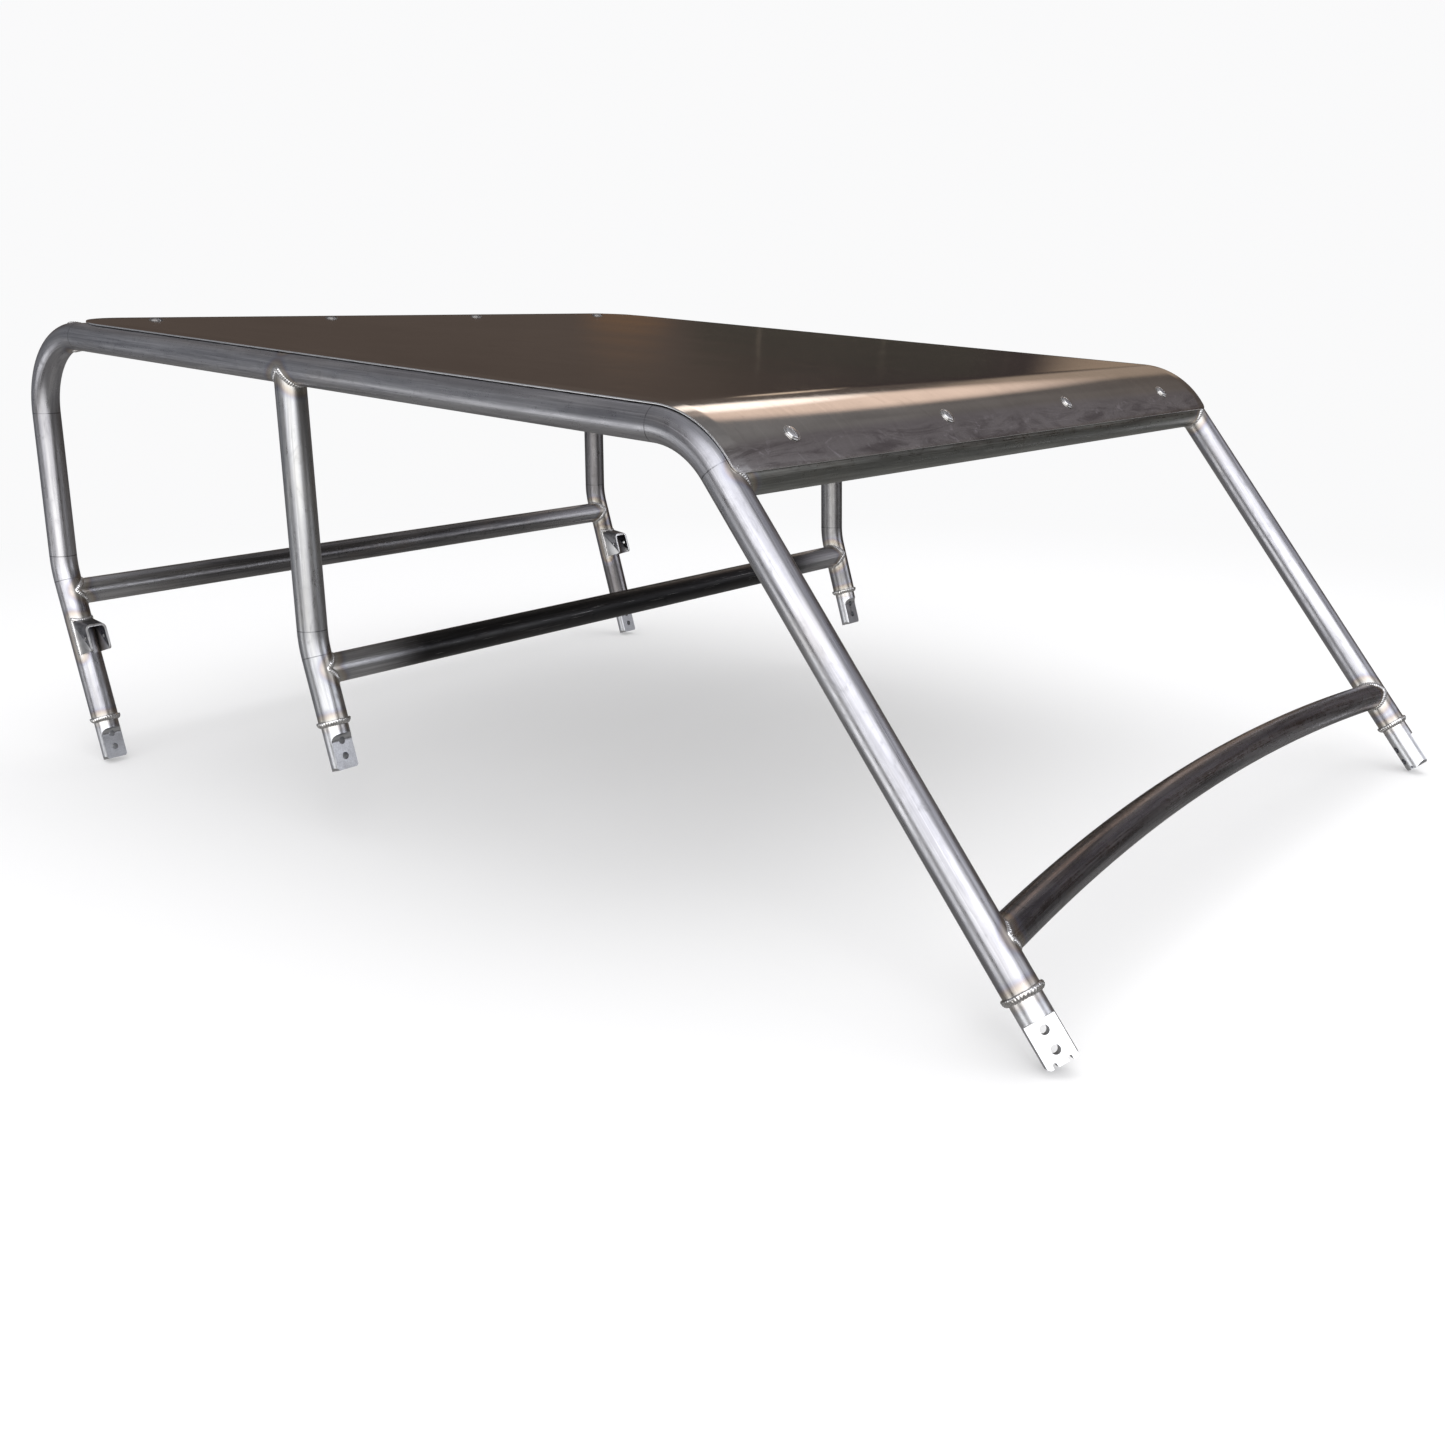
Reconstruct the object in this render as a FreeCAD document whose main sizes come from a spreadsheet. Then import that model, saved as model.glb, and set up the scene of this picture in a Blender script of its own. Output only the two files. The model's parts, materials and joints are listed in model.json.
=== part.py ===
import FreeCAD, Part
# Roll cage with a sheet roof for a side-by-side off-road vehicle.
# +X is forward, +Y is the vehicle's left, +Z is up.  Millimetres.
# The frame's origin is on the floor, on the centre plane, midway along the length.
import math
import os
import Sketcher
from FreeCAD import Placement, Rotation, Vector

doc = FreeCAD.newDocument("side_by_side_cage")

# --------------------------------------------------------------------------
# driving dimensions
# --------------------------------------------------------------------------
CELLS = [
    # tube stock
    ("tube_od", 44.45), ("tube_wall", 2.4),
    # where the rear cross bar's axis stands from the frame's origin
    ("datum_back", 940.709), ("datum_high", 289.378),
    ("half_track", 675.0),
    # side hoop, from the rear foot forward
    ("hoop_start_x", 66.9), ("hoop_start_z", -215.5),
    ("kick_deg", 17.0), ("kick_bend_rad", 150.0), ("roof_bend_rad", 127.0),
    ("rail_slope_deg", 3.72), ("front_slope_deg", 51.8),
    ("leg_low_len", 247.4), ("leg_high_len", 242.5),
    ("rail_len", 1231.3), ("front_leg_len", 660.0),
    # middle pillar
    ("pillar_start_x", 714.0), ("pillar_start_z", -112.0),
    ("pillar_low_len", 100.0), ("pillar_high_len", 373.0), ("pillar_lean_deg", 1.4),
    # cross members: x and z from the rear cross bar's axis, runs down the front slope
    ("rear_bar_x", 1.0), ("rear_bar_z", 0.0),
    ("harness_x", 691.0), ("harness_z", -37.0),
    ("header_run", 69.0), ("rear_header_x", 98.0),
    ("arch_run", 659.0), ("arch_rise", 40.0), ("arch_end", 60.0),
    ("arch_trim", 3.5), ("arch_lean_deg", 30.0),
    # weld-in foot inserts; the front ones are the toes
    ("foot_rad", 20.0), ("spigot_rad", 19.7), ("spigot_len", 32.0),
    ("foot_flat_off", 7.8), ("foot_hole_dia", 11.0), ("foot_hole_gap", 23.0),
    ("foot_corner", 5.0),
    ("foot_len", 71.0), ("foot_round_len", 18.0), ("foot_hole_at", 28.5), ("foot_ramp", 4.0),
    ("toe_len", 82.0), ("toe_round_len", 29.0), ("toe_hole_at", 42.0), ("toe_ramp", 0.0),
    ("toe_key_wide", 5.0), ("toe_key_deep", 6.0), ("toe_key_off", 9.0), ("toe_turn_deg", 40.0),
    # clevis brackets on the rear legs
    ("clevis_run", 64.0), ("clevis_high", 46.0), ("clevis_wide", 38.0),
    ("clevis_out", 50.0), ("clevis_plate", 4.0), ("clevis_slope_deg", 25.0),
    ("clevis_hole_dia", 6.6), ("clevis_hole_in", 10.0), ("clevis_hole_down", 22.0),
    ("clevis_bend_rad", 9.0), ("clevis_trim_rad", 5.0),
    # the block each clevis is trimmed from, and how far its hollow overruns it
    ("block_len", 120.0), ("block_high", 110.0), ("block_back", 90.0), ("block_over", 5.0),
    # roof panel
    ("panel_thick", 2.0), ("panel_lift", 1.4), ("panel_back_x", 74.0),
    ("panel_half_wide", 682.0), ("panel_break_in", 26.0), ("panel_break_drop", 1.15),
    ("lip_break_run", 55.5), ("lip_end_run", 76.5), ("lip_break_deg", 1.5),
    ("panel_back_rad", 110.0), ("panel_front_rad", 12.0),
    # quarter-turn fasteners: places
    ("stud_gap", 361.0), ("front_stud_run", 33.0), ("rear_stud_x", 130.0),
    # studs
    ("stud_rad", 4.35), ("stud_chamfer", 1.0), ("stud_reach", 6.0),
    ("stud_head_rad", 9.0), ("stud_head_high", 2.6), ("stud_edge_high", 0.8),
    ("stud_top_rad", 3.0), ("slot_wide", 1.8), ("slot_deep", 1.5), ("groove_slack", 0.25),
    # washers above the sheet, retainers under it
    ("washer_rad", 12.0), ("washer_thick", 1.2), ("washer_bore_rad", 4.4),
    ("washer_gap", 0.02),
    ("retainer_inset", 4.0), ("retainer_thinner", 0.4), ("retainer_drop", 1.1),
    # tabs
    ("panel_hole_rad", 5.6), ("tab_hole_rad", 6.0),
    ("tab_gap", 1.5), ("tab_thick", 3.0), ("tab_wide", 50.0), ("tab_len", 32.0),
    ("web_extra", 2.0), ("web_overlap", 0.5),
    # spring wires and rivets
    ("spring_wire_rad", 1.2), ("spring_half", 17.5), ("spring_slack", 0.1),
    ("eye_slack", 0.05), ("rivet_rad", 2.0), ("rivet_lip", 2.2), ("rivet_head_high", 1.4),
]
sheet = doc.addObject("Spreadsheet::Sheet", "Dims")
for row, (alias, value) in enumerate(CELLS, start=1):
    cell_name = "B%d" % row
    sheet.set("A%d" % row, alias)
    sheet.set(cell_name, str(value))
    sheet.setAlias(cell_name, alias)
doc.recompute()


def dim(alias):
    return float(sheet.get(alias))


def linked(alias):
    """A dimension's value and the expression that binds to it."""
    return dim(alias), "Dims." + alias


TUBE_RAD = dim("tube_od") / 2
HALF_TRACK = dim("half_track")
ROOF_BEND = dim("roof_bend_rad")
KICK = math.radians(dim("kick_deg"))
SLOPE = math.radians(dim("rail_slope_deg"))
FRONT = math.radians(dim("front_slope_deg"))
LEAN = math.radians(dim("pillar_lean_deg"))
SIDES = (("right", -HALF_TRACK), ("left", HALF_TRACK))

# --------------------------------------------------------------------------
# places and directions: points are measured from the rear cross bar's axis and
# lie on the centre plane until at() carries them into the part's frame
# --------------------------------------------------------------------------
ALONG_Y = Rotation(Vector(1, 0, 0), -90)


def at(point, y):
    return Vector(point.x - dim("datum_back"), y, point.z + dim("datum_high"))


def turn_y(degrees):
    return Rotation(Vector(0, 1, 0), degrees)


def axes(x_axis, z_axis):
    """The rotation that lays local X and Z on two square directions."""
    y_axis = z_axis.cross(x_axis)
    return Rotation(FreeCAD.Matrix(x_axis.x, y_axis.x, z_axis.x, 0,
                                   x_axis.y, y_axis.y, z_axis.y, 0,
                                   x_axis.z, y_axis.z, z_axis.z, 0,
                                   0, 0, 0, 1))


def moved(place, x, y, z, rotation=Rotation()):
    """place, shifted and then turned in its own axes."""
    return place.multiply(Placement(Vector(x, y, z), rotation))


def down_slope(angle):
    """Forward and down a slope."""
    return Vector(math.cos(angle), 0, -math.sin(angle))


def off_slope(angle):
    """Square off a slope, upward."""
    return Vector(math.sin(angle), 0, math.cos(angle))


DOWN_FRONT, OFF_FRONT = down_slope(FRONT), off_slope(FRONT)
# down the kicked-back lower legs, and forward square to them
DOWN_KICK = Vector(math.sin(KICK), 0, -math.cos(KICK))
FORE_KICK = Vector(math.cos(KICK), 0, math.sin(KICK))

# distance from each bend's corner to its tangent points
KICK_TANGENT = dim("kick_bend_rad") * math.tan(KICK / 2)
BACK_TANGENT = ROOF_BEND * math.tan((math.pi / 2 + SLOPE) / 2)
FRONT_TANGENT = ROOF_BEND * math.tan((FRONT - SLOPE) / 2)
PILLAR_TANGENT = dim("kick_bend_rad") * math.tan((KICK - LEAN) / 2)

# corners where the axes of neighbouring straight runs cross
HOOP_FOOT = Vector(dim("hoop_start_x"), 0, dim("hoop_start_z"))
PILLAR_FOOT = Vector(dim("pillar_start_x"), 0, dim("pillar_start_z"))
KICK_CORNER = HOOP_FOOT - DOWN_KICK * (dim("leg_low_len") + KICK_TANGENT)
BACK_CORNER = KICK_CORNER + Vector(0, 0, KICK_TANGENT + dim("leg_high_len") + BACK_TANGENT)
FRONT_CORNER = BACK_CORNER + down_slope(SLOPE) * (BACK_TANGENT + dim("rail_len") + FRONT_TANGENT)
PILLAR_CORNER = PILLAR_FOOT - DOWN_KICK * (dim("pillar_low_len") + PILLAR_TANGENT)


def on_front(run, off=0.0):
    """A point run mm down the front slope from the front corner, off mm out from the axis."""
    return FRONT_CORNER + DOWN_FRONT * run + OFF_FRONT * off


def on_rail(x, off=0.0):
    """The rail's axis line at a fore-aft position, off mm above it."""
    z = BACK_CORNER.z - (x - BACK_CORNER.x) * math.tan(SLOPE)
    return Vector(x, 0, z) + off_slope(SLOPE) * off


def back_bend_drop(x):
    """How far the rear bend's axis is under the rail's axis line."""
    gap = max(0.0, BACK_TANGENT - (x - BACK_CORNER.x) / math.cos(SLOPE))
    return ROOF_BEND - math.sqrt(ROOF_BEND ** 2 - gap ** 2)


HOOP_END = on_front(FRONT_TANGENT + dim("front_leg_len"))
FRONT_BEND_CENTRE = on_front(FRONT_TANGENT, -ROOF_BEND)
REAR_BAR = Vector(dim("rear_bar_x"), 0, dim("rear_bar_z"))
HARNESS = Vector(dim("harness_x"), 0, dim("harness_z"))
FRONT_HEADER = on_front(dim("header_run"))
REAR_HEADER = (on_rail(dim("rear_header_x"))
               - Vector(0, 0, back_bend_drop(dim("rear_header_x"))))
# the middle roof tube stands over the pillars' top ends
MIDDLE_ROOF = on_rail(PILLAR_CORNER.x
                      - math.tan(LEAN) * (on_rail(PILLAR_CORNER.x).z - PILLAR_CORNER.z))

# --------------------------------------------------------------------------
# document objects
# --------------------------------------------------------------------------
NODES = []


def node(obj, label):
    """Mark an object as a finished piece."""
    obj.Label = label
    NODES.append(obj)


def solid(kind, name, place, **sizes):
    """A Part primitive; a size is a number or an expression over the sheet."""
    obj = doc.addObject("Part::" + kind, name)
    for prop, size in sizes.items():
        if isinstance(size, str):
            obj.setExpression(prop, size)
        else:
            setattr(obj, prop, size)
    obj.Placement = place
    return obj


def cylinder(name, radius, height, place):
    return solid("Cylinder", name, place, Radius=radius, Height=height)


def box(name, length, width, height, place):
    return solid("Box", name, place, Length=length, Width=width, Height=height)


def drill(name, radius, thick, place, margin=2):
    """A cylinder through a thickness that starts at place, over by margin at both ends."""
    return cylinder(name, radius, "(%s) + %d" % (thick, 2 * margin), moved(place, 0, 0, -margin))


def cut(name, base, *tools):
    for i, tool in enumerate(tools):
        step = doc.addObject("Part::Cut", "%s_cut%d" % (name, i))
        step.Base = base
        step.Tool = tool
        base = step
    return base


def fuse(name, *shapes):
    joined = doc.addObject("Part::MultiFuse", name)
    joined.Shapes = list(shapes)
    return joined


# --------------------------------------------------------------------------
# sketches and body features
# --------------------------------------------------------------------------
def plane_sketch(body, name, role):
    """A sketch on one of the body's planes; its vertical is Z on XZ and YZ."""
    plane = next(f for f in body.Origin.OriginFeatures if f.Role == role)
    sketch = body.newObject("Sketcher::SketchObject", name)
    sketch.AttachmentSupport = [(plane, "")]
    sketch.MapMode = "FlatFace"
    return sketch


def named(sketch, constraint, name, expression):
    sketch.renameConstraint(sketch.addConstraint(constraint), name)
    sketch.setExpression("Constraints." + name, expression)


def centred_circle(sketch, name, radius, expression):
    circle = sketch.addGeometry(Part.Circle(Vector(0, 0, 0), Vector(0, 0, 1), radius), False)
    sketch.addConstraint(Sketcher.Constraint("Coincident", circle, 3, -1, 1))
    named(sketch, Sketcher.Constraint("Radius", circle, radius), name, expression)


def add_line(sketch, start, end):
    return sketch.addGeometry(Part.LineSegment(Vector(*start, 0), Vector(*end, 0)), False)


def closed_sketch(body, name, role, points):
    """A closed polygon; returns the sketch and its lines."""
    sketch = plane_sketch(body, name, role)
    count = len(points)
    lines = [add_line(sketch, points[i], points[(i + 1) % count]) for i in range(count)]
    for i in range(count):
        sketch.addConstraint(
            Sketcher.Constraint("Coincident", lines[i], 2, lines[(i + 1) % count], 1))
    return sketch, lines


def pocket(body, name, sketch):
    """Cut the sketch through the whole body, both ways."""
    doc.recompute()
    before = body.Shape.Volume
    cutter = body.newObject("PartDesign::Pocket", name)
    cutter.Profile = sketch
    cutter.Type = 1
    cutter.Midplane = True
    doc.recompute()
    body.Tip = cutter
    if body.Shape.Volume >= before:
        raise RuntimeError("nothing cut by " + name)
    return cutter


def polygon_pocket(body, name, role, points):
    return pocket(body, name, closed_sketch(body, name + "_outline", role, points)[0])


# --------------------------------------------------------------------------
# bent tubes: a path is its runs, [(length, expression)], and the clockwise bends
# between them, [(turn in degrees, (radius, expression), next run's heading expression)]
# --------------------------------------------------------------------------
def spine_sketch(body, name, path):
    """Straight runs joined by tangent bends, from the sketch's origin upward."""
    runs, bends = path
    sketch = plane_sketch(body, name, "XZ_Plane")
    x, z, heading = 0.0, 0.0, math.pi / 2
    lines, arcs = [], []
    for i, (length, _) in enumerate(runs):
        x2 = x + length * math.cos(heading)
        z2 = z + length * math.sin(heading)
        lines.append(add_line(sketch, (x, z), (x2, z2)))
        x, z = x2, z2
        if i < len(bends):
            turn = math.radians(bends[i][0])
            radius = bends[i][1][0]
            centre_x = x + radius * math.sin(heading)
            centre_z = z - radius * math.cos(heading)
            start = math.atan2(z - centre_z, x - centre_x)
            end = start - turn
            circle = Part.Circle(Vector(centre_x, centre_z, 0), Vector(0, 0, 1), radius)
            arcs.append(sketch.addGeometry(Part.ArcOfCircle(circle, end, start), False))
            x = centre_x + radius * math.cos(end)
            z = centre_z + radius * math.sin(end)
            heading -= turn
    sketch.addConstraint(Sketcher.Constraint("Coincident", lines[0], 1, -1, 1))
    for i, arc in enumerate(arcs):
        radius, expression = bends[i][1]
        sketch.addConstraint(Sketcher.Constraint("Tangent", lines[i], 2, arc, 2))
        sketch.addConstraint(Sketcher.Constraint("Tangent", arc, 1, lines[i + 1], 1))
        named(sketch, Sketcher.Constraint("Radius", arc, radius), "bend%d" % i, expression)
    sketch.addConstraint(Sketcher.Constraint("Vertical", lines[0]))
    degrees = 90.0
    for i, (length, expression) in enumerate(runs):
        named(sketch, Sketcher.Constraint("Distance", lines[i], length), "run%d" % i, expression)
        if i:
            # angle from the sketch's X axis to the run
            turn, _, heading_expression = bends[i - 1]
            degrees -= turn
            angle = Sketcher.Constraint("Angle", -1, 1, lines[i], 1, math.radians(degrees))
            named(sketch, angle, "head%d" % i, heading_expression)
    return sketch


def tube_body(name, path, place, hollow=True):
    body = doc.addObject("PartDesign::Body", name)
    spine = spine_sketch(body, name + "_spine", path)
    section = plane_sketch(body, name + "_section", "XY_Plane")
    centred_circle(section, "outside", TUBE_RAD, "Dims.tube_od / 2")
    if hollow:
        centred_circle(section, "inside", TUBE_RAD - dim("tube_wall"),
                       "Dims.tube_od / 2 - Dims.tube_wall")
    doc.recompute()
    pipe = body.newObject("PartDesign::AdditivePipe", name + "_pipe")
    pipe.Profile = section
    pipe.Spine = (spine, [])
    pipe.Mode = "Standard"
    body.Tip = pipe
    body.Placement = place
    doc.recompute()
    return body


HOOP_PATH = (
    [linked("leg_low_len"), linked("leg_high_len"), linked("rail_len"), linked("front_leg_len")],
    [(dim("kick_deg"), linked("kick_bend_rad"), "(90 - Dims.kick_deg) * 1 deg"),
     (90 + dim("rail_slope_deg"), linked("roof_bend_rad"),
      "(0 - Dims.rail_slope_deg - Dims.kick_deg) * 1 deg"),
     (dim("front_slope_deg") - dim("rail_slope_deg"), linked("roof_bend_rad"),
      "(0 - Dims.front_slope_deg - Dims.kick_deg) * 1 deg")])
PILLAR_PATH = (
    [linked("pillar_low_len"), linked("pillar_high_len")],
    [(dim("kick_deg") - dim("pillar_lean_deg"), linked("kick_bend_rad"),
      "(90 - Dims.kick_deg + Dims.pillar_lean_deg) * 1 deg")])


def leg_place(foot, y):
    return Placement(at(foot, y), turn_y(-dim("kick_deg")))


# side hoops, and the solid hoops and pillars that cope the tubes meeting them
hoop_cores, pillar_cores = {}, {}
for side, y in SIDES:
    hoop_at = leg_place(HOOP_FOOT, y)
    label = side + "_side_hoop"
    node(tube_body(label, HOOP_PATH, hoop_at), label)
    hoop_cores[side] = tube_body(side + "_hoop_cope", HOOP_PATH, hoop_at, False)
    pillar_cores[side] = tube_body(side + "_pillar_cope", PILLAR_PATH,
                                   leg_place(PILLAR_FOOT, y), False)
both_hoops = list(hoop_cores.values())
both_pillars = list(pillar_cores.values())

# middle pillars, coped to the underside of the rails
for side, y in SIDES:
    pillar = tube_body(side + "_pillar_body", PILLAR_PATH, leg_place(PILLAR_FOOT, y))
    node(cut(side + "_pillar", pillar, hoop_cores[side]), side + "_middle_pillar")


# --------------------------------------------------------------------------
# cross members
# --------------------------------------------------------------------------
def cross_tube(label, point, copes):
    """A straight tube across the vehicle, between the hoops' axes."""
    place = Placement(at(point, -HALF_TRACK), ALONG_Y)
    length = "Dims.half_track * 2"
    outer = cylinder(label + "_outside", "Dims.tube_od / 2", length, place)
    bore = cylinder(label + "_bore", "Dims.tube_od / 2 - Dims.tube_wall", length, place)
    node(cut(label, outer, bore, *copes), label)


def arch_bar():
    """Bar between the front legs: rolled to one long bend that rises toward the middle,
    up and a little rearward, with short straight ends at the copes."""
    end, trim = dim("arch_end"), dim("arch_trim")
    half_turn = 2 * math.atan(dim("arch_rise") / (HALF_TRACK + end))
    radius = (HALF_TRACK - end * math.cos(half_turn)) / math.sin(half_turn)
    quarter = "atan(Dims.arch_rise / (Dims.half_track + Dims.arch_end))"
    radius_expression = ("(Dims.half_track - Dims.arch_end * cos(2 * %s)) / sin(2 * %s)"
                         % (quarter, quarter))
    lean = math.radians(dim("arch_lean_deg"))
    rise = Vector(-math.cos(lean), 0, math.sin(lean))
    across = Vector(0, 1, 0)
    start = across * math.cos(half_turn) + rise * math.sin(half_turn)
    inward = across * math.sin(half_turn) - rise * math.cos(half_turn)
    # the ends stop just short of the hoops' axes
    path = ([(end - trim, "Dims.arch_end - Dims.arch_trim")] * 2,
            [(2 * math.degrees(half_turn), (radius, radius_expression),
              "90 deg - 4 * " + quarter)])
    foot = at(on_front(dim("arch_run")), -HALF_TRACK) + start * trim
    tube = tube_body("arch_body", path, Placement(foot, axes(inward, start)))
    node(cut("arch", tube, *both_hoops), "windshield_arch_bar")


cross_tube("rear_cross_bar", REAR_BAR, both_hoops)
cross_tube("front_header_tube", FRONT_HEADER, both_hoops)
cross_tube("rear_header_tube", REAR_HEADER, both_hoops)
cross_tube("middle_roof_tube", MIDDLE_ROOF, both_hoops + both_pillars)
# behind the seats, between the middle pillars
cross_tube("harness_bar", HARNESS, both_pillars)
arch_bar()


# --------------------------------------------------------------------------
# weld-in foot inserts: local +Z runs out of the tube's end, local +X is the
# side that the flat is milled on
# --------------------------------------------------------------------------
def round_pad(body, name, radius_alias, length_alias, backward=False):
    section = plane_sketch(body, name + "_round", "XY_Plane")
    centred_circle(section, "radius", *linked(radius_alias))
    doc.recompute()
    pad = body.newObject("PartDesign::Pad", name)
    pad.Profile = section
    pad.setExpression("Length", "Dims." + length_alias)
    pad.Reversed = backward
    doc.recompute()


def insert_flat(body, name, kind):
    """The flat, with a ramp of the kind's length where it meets the round."""
    off, round_len = dim("foot_flat_off"), dim(kind + "_round_len")
    outside, beyond = dim("foot_rad") + 2, dim(kind + "_len") + 5
    outline, lines = closed_sketch(
        body, name + "_flat_outline", "XZ_Plane",
        [(off, beyond), (off, round_len + dim(kind + "_ramp")),
         (outside, round_len), (outside, beyond)])
    outline.addConstraint(Sketcher.Constraint("Vertical", lines[0]))
    named(outline, Sketcher.Constraint("DistanceX", -1, 1, lines[0], 1, off),
          "flat_off", "Dims.foot_flat_off")
    named(outline, Sketcher.Constraint("DistanceY", -1, 1, lines[1], 2, round_len),
          "round_len", "Dims." + kind + "_round_len")
    pocket(body, name + "_flat", outline)


def insert_corners(body, name, length):
    """Bevel both corners of the end."""
    radius, corner = dim("foot_rad"), dim("foot_corner")
    for k, sign in enumerate((1, -1)):
        polygon_pocket(body, "%s_corner%d" % (name, k), "YZ_Plane",
                       [(sign * (radius - corner), length + 0.5),
                        (sign * (radius + 1), length + 0.5),
                        (sign * (radius + 1), length - corner - 1)])


def insert_holes(body, name, kind):
    """Two bolt holes square to the flat."""
    radius = dim("foot_hole_dia") / 2
    centres = plane_sketch(body, name + "_hole_centres", "YZ_Plane")
    for k in range(2):
        height = dim(kind + "_hole_at") + k * dim("foot_hole_gap")
        hole = centres.addGeometry(
            Part.Circle(Vector(0, height, 0), Vector(0, 0, 1), radius), False)
        named(centres, Sketcher.Constraint("Radius", hole, radius), "hole%d" % k,
              "Dims.foot_hole_dia / 2")
        centres.addConstraint(Sketcher.Constraint("PointOnObject", hole, 3, -2))
        named(centres, Sketcher.Constraint("DistanceY", -1, 1, hole, 3, height), "hole_at%d" % k,
              "Dims." + kind + "_hole_at" + (" + Dims.foot_hole_gap" if k else ""))
    pocket(body, name + "_holes", centres)


def toe_keys(body, name, length):
    """Two slots in the end of a front insert."""
    wide, deep = dim("toe_key_wide"), dim("toe_key_deep")
    for k, sign in enumerate((-1, 1)):
        y0 = sign * dim("toe_key_off") - wide / 2
        polygon_pocket(body, "%s_key%d" % (name, k), "YZ_Plane",
                       [(y0, length - deep), (y0 + wide, length - deep),
                        (y0 + wide, length + 1), (y0, length + 1)])


def insert(label, kind, place):
    """kind is the prefix of the insert's aliases: foot or toe."""
    body = doc.addObject("PartDesign::Body", label)
    round_pad(body, label + "_stub", "foot_rad", kind + "_len")
    round_pad(body, label + "_spigot", "spigot_rad", "spigot_len", backward=True)
    insert_flat(body, label, kind)
    insert_corners(body, label, dim(kind + "_len"))
    insert_holes(body, label, kind)
    if kind == "toe":
        toe_keys(body, label, dim("toe_len"))
    body.Placement = place
    doc.recompute()
    node(body, label)


toe_turn = math.radians(dim("toe_turn_deg"))
for side, y in SIDES:
    leg_axes = axes(FORE_KICK, DOWN_KICK)
    insert(side + "_rear_foot", "foot", Placement(at(HOOP_FOOT, y), leg_axes))
    insert(side + "_middle_foot", "foot", Placement(at(PILLAR_FOOT, y), leg_axes))
    # the front feet's flats face outward, turned forward and up about the leg
    flat_side = (Vector(0, math.copysign(math.cos(toe_turn), y), 0)
                 + OFF_FRONT * math.sin(toe_turn))
    insert(side + "_front_foot", "toe", Placement(at(HOOP_END, y), axes(flat_side, DOWN_FRONT)))


# --------------------------------------------------------------------------
# clevis brackets on the rear legs: a bent plate, a web that slopes down to the
# front and two ears, open forward and down; the ears are trimmed square to the leg
# --------------------------------------------------------------------------
def fillet_edges(name, base, radius, picked):
    """Round the edges of a box that picked(midpoint, span), in its own axes, accepts."""
    fillet = doc.addObject("Part::Fillet", name)
    fillet.Base = base
    doc.recompute()
    to_local = base.Placement.inverse()
    picks = []
    for i, edge in enumerate(base.Shape.Edges, start=1):
        start, end = (to_local.multVec(vertex.Point) for vertex in edge.Vertexes)
        if picked((start + end) * 0.5, end - start):
            picks.append((i, radius, radius))
    fillet.Edges = picks
    return fillet


def clevis(side, y):
    name = side + "_clevis"
    wide, out, plate = dim("clevis_wide"), dim("clevis_out"), dim("clevis_plate")
    back, over, bend = dim("block_back"), dim("block_over"), dim("clevis_bend_rad")
    # the corner where the web's top meets the front edge; local +Z is up the leg
    corner = REAR_BAR + DOWN_KICK * dim("clevis_run") + FORE_KICK * out
    base = Placement(at(corner, y), axes(FORE_KICK, DOWN_KICK * -1))
    tilted = moved(base, 0, 0, 0, turn_y(dim("clevis_slope_deg")))

    def top_side_edge(mid, span):
        return abs(span.x) > 1 and mid.z > 100

    def low_front_edge(mid, span):
        return abs(span.y) > 1 and mid.x > out - 1 and mid.z < 1

    block = box(name + "_block", "Dims.block_len", "Dims.clevis_wide", "Dims.block_high",
                moved(tilted, -back, -wide / 2, -dim("block_high")))
    outside = fillet_edges(name + "_bend", block, bend, top_side_edge)
    hollow = box(name + "_inner_block", "Dims.block_len + 2 * Dims.block_over",
                 "Dims.clevis_wide - 2 * Dims.clevis_plate",
                 "Dims.block_high + 2 * Dims.block_over",
                 moved(tilted, -back - over, -wide / 2 + plate,
                       -dim("block_high") - 2 * over - plate))
    inside = fillet_edges(name + "_inner_bend", hollow, bend - plate, top_side_edge)
    trim_block = box(name + "_trim_block", "Dims.clevis_out", "Dims.clevis_wide + 20",
                     "Dims.clevis_high + 40",
                     moved(base, -out, -wide / 2 - 10, -dim("clevis_high")))
    trim = fillet_edges(name + "_trim", trim_block, dim("clevis_trim_rad"), low_front_edge)
    hole = drill(name + "_hole", "Dims.clevis_hole_dia / 2", "Dims.clevis_wide",
                 moved(base, -dim("clevis_hole_in"), -wide / 2, -dim("clevis_hole_down"),
                       ALONG_Y), margin=10)
    trimmed = doc.addObject("Part::Common", name + "_trimmed")
    trimmed.Base = cut(name + "_channel", outside, inside, hole)
    trimmed.Tool = trim
    node(cut(name, trimmed, hoop_cores[side]), side + "_leg_bracket")


for side, y in SIDES:
    clevis(side, y)


# --------------------------------------------------------------------------
# roof panel: sheet over the rails, bent down over the front header, with
# a slight break along both sides and along the front lip
# --------------------------------------------------------------------------
def panel_line(y, off):
    """One face of the sheet's section at y, off mm from the hoop's axis, rear to front."""
    lip_angle = FRONT + math.radians(dim("lip_break_deg"))
    bend_start = on_rail(FRONT_CORNER.x - FRONT_TANGENT * math.cos(SLOPE), off)
    bend_middle = FRONT_BEND_CENTRE + off_slope((SLOPE + FRONT) / 2) * (ROOF_BEND + off)
    # the lip always breaks after the bend
    knee = on_front(max(dim("lip_break_run"), FRONT_TANGENT + 0.5), off)
    tip = knee + down_slope(lip_angle) * (dim("lip_end_run") - dim("lip_break_run"))
    points = (on_rail(dim("panel_back_x"), off), bend_start, bend_middle,
              on_front(FRONT_TANGENT, off), knee, tip)
    return [at(point, y) for point in points]


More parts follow.
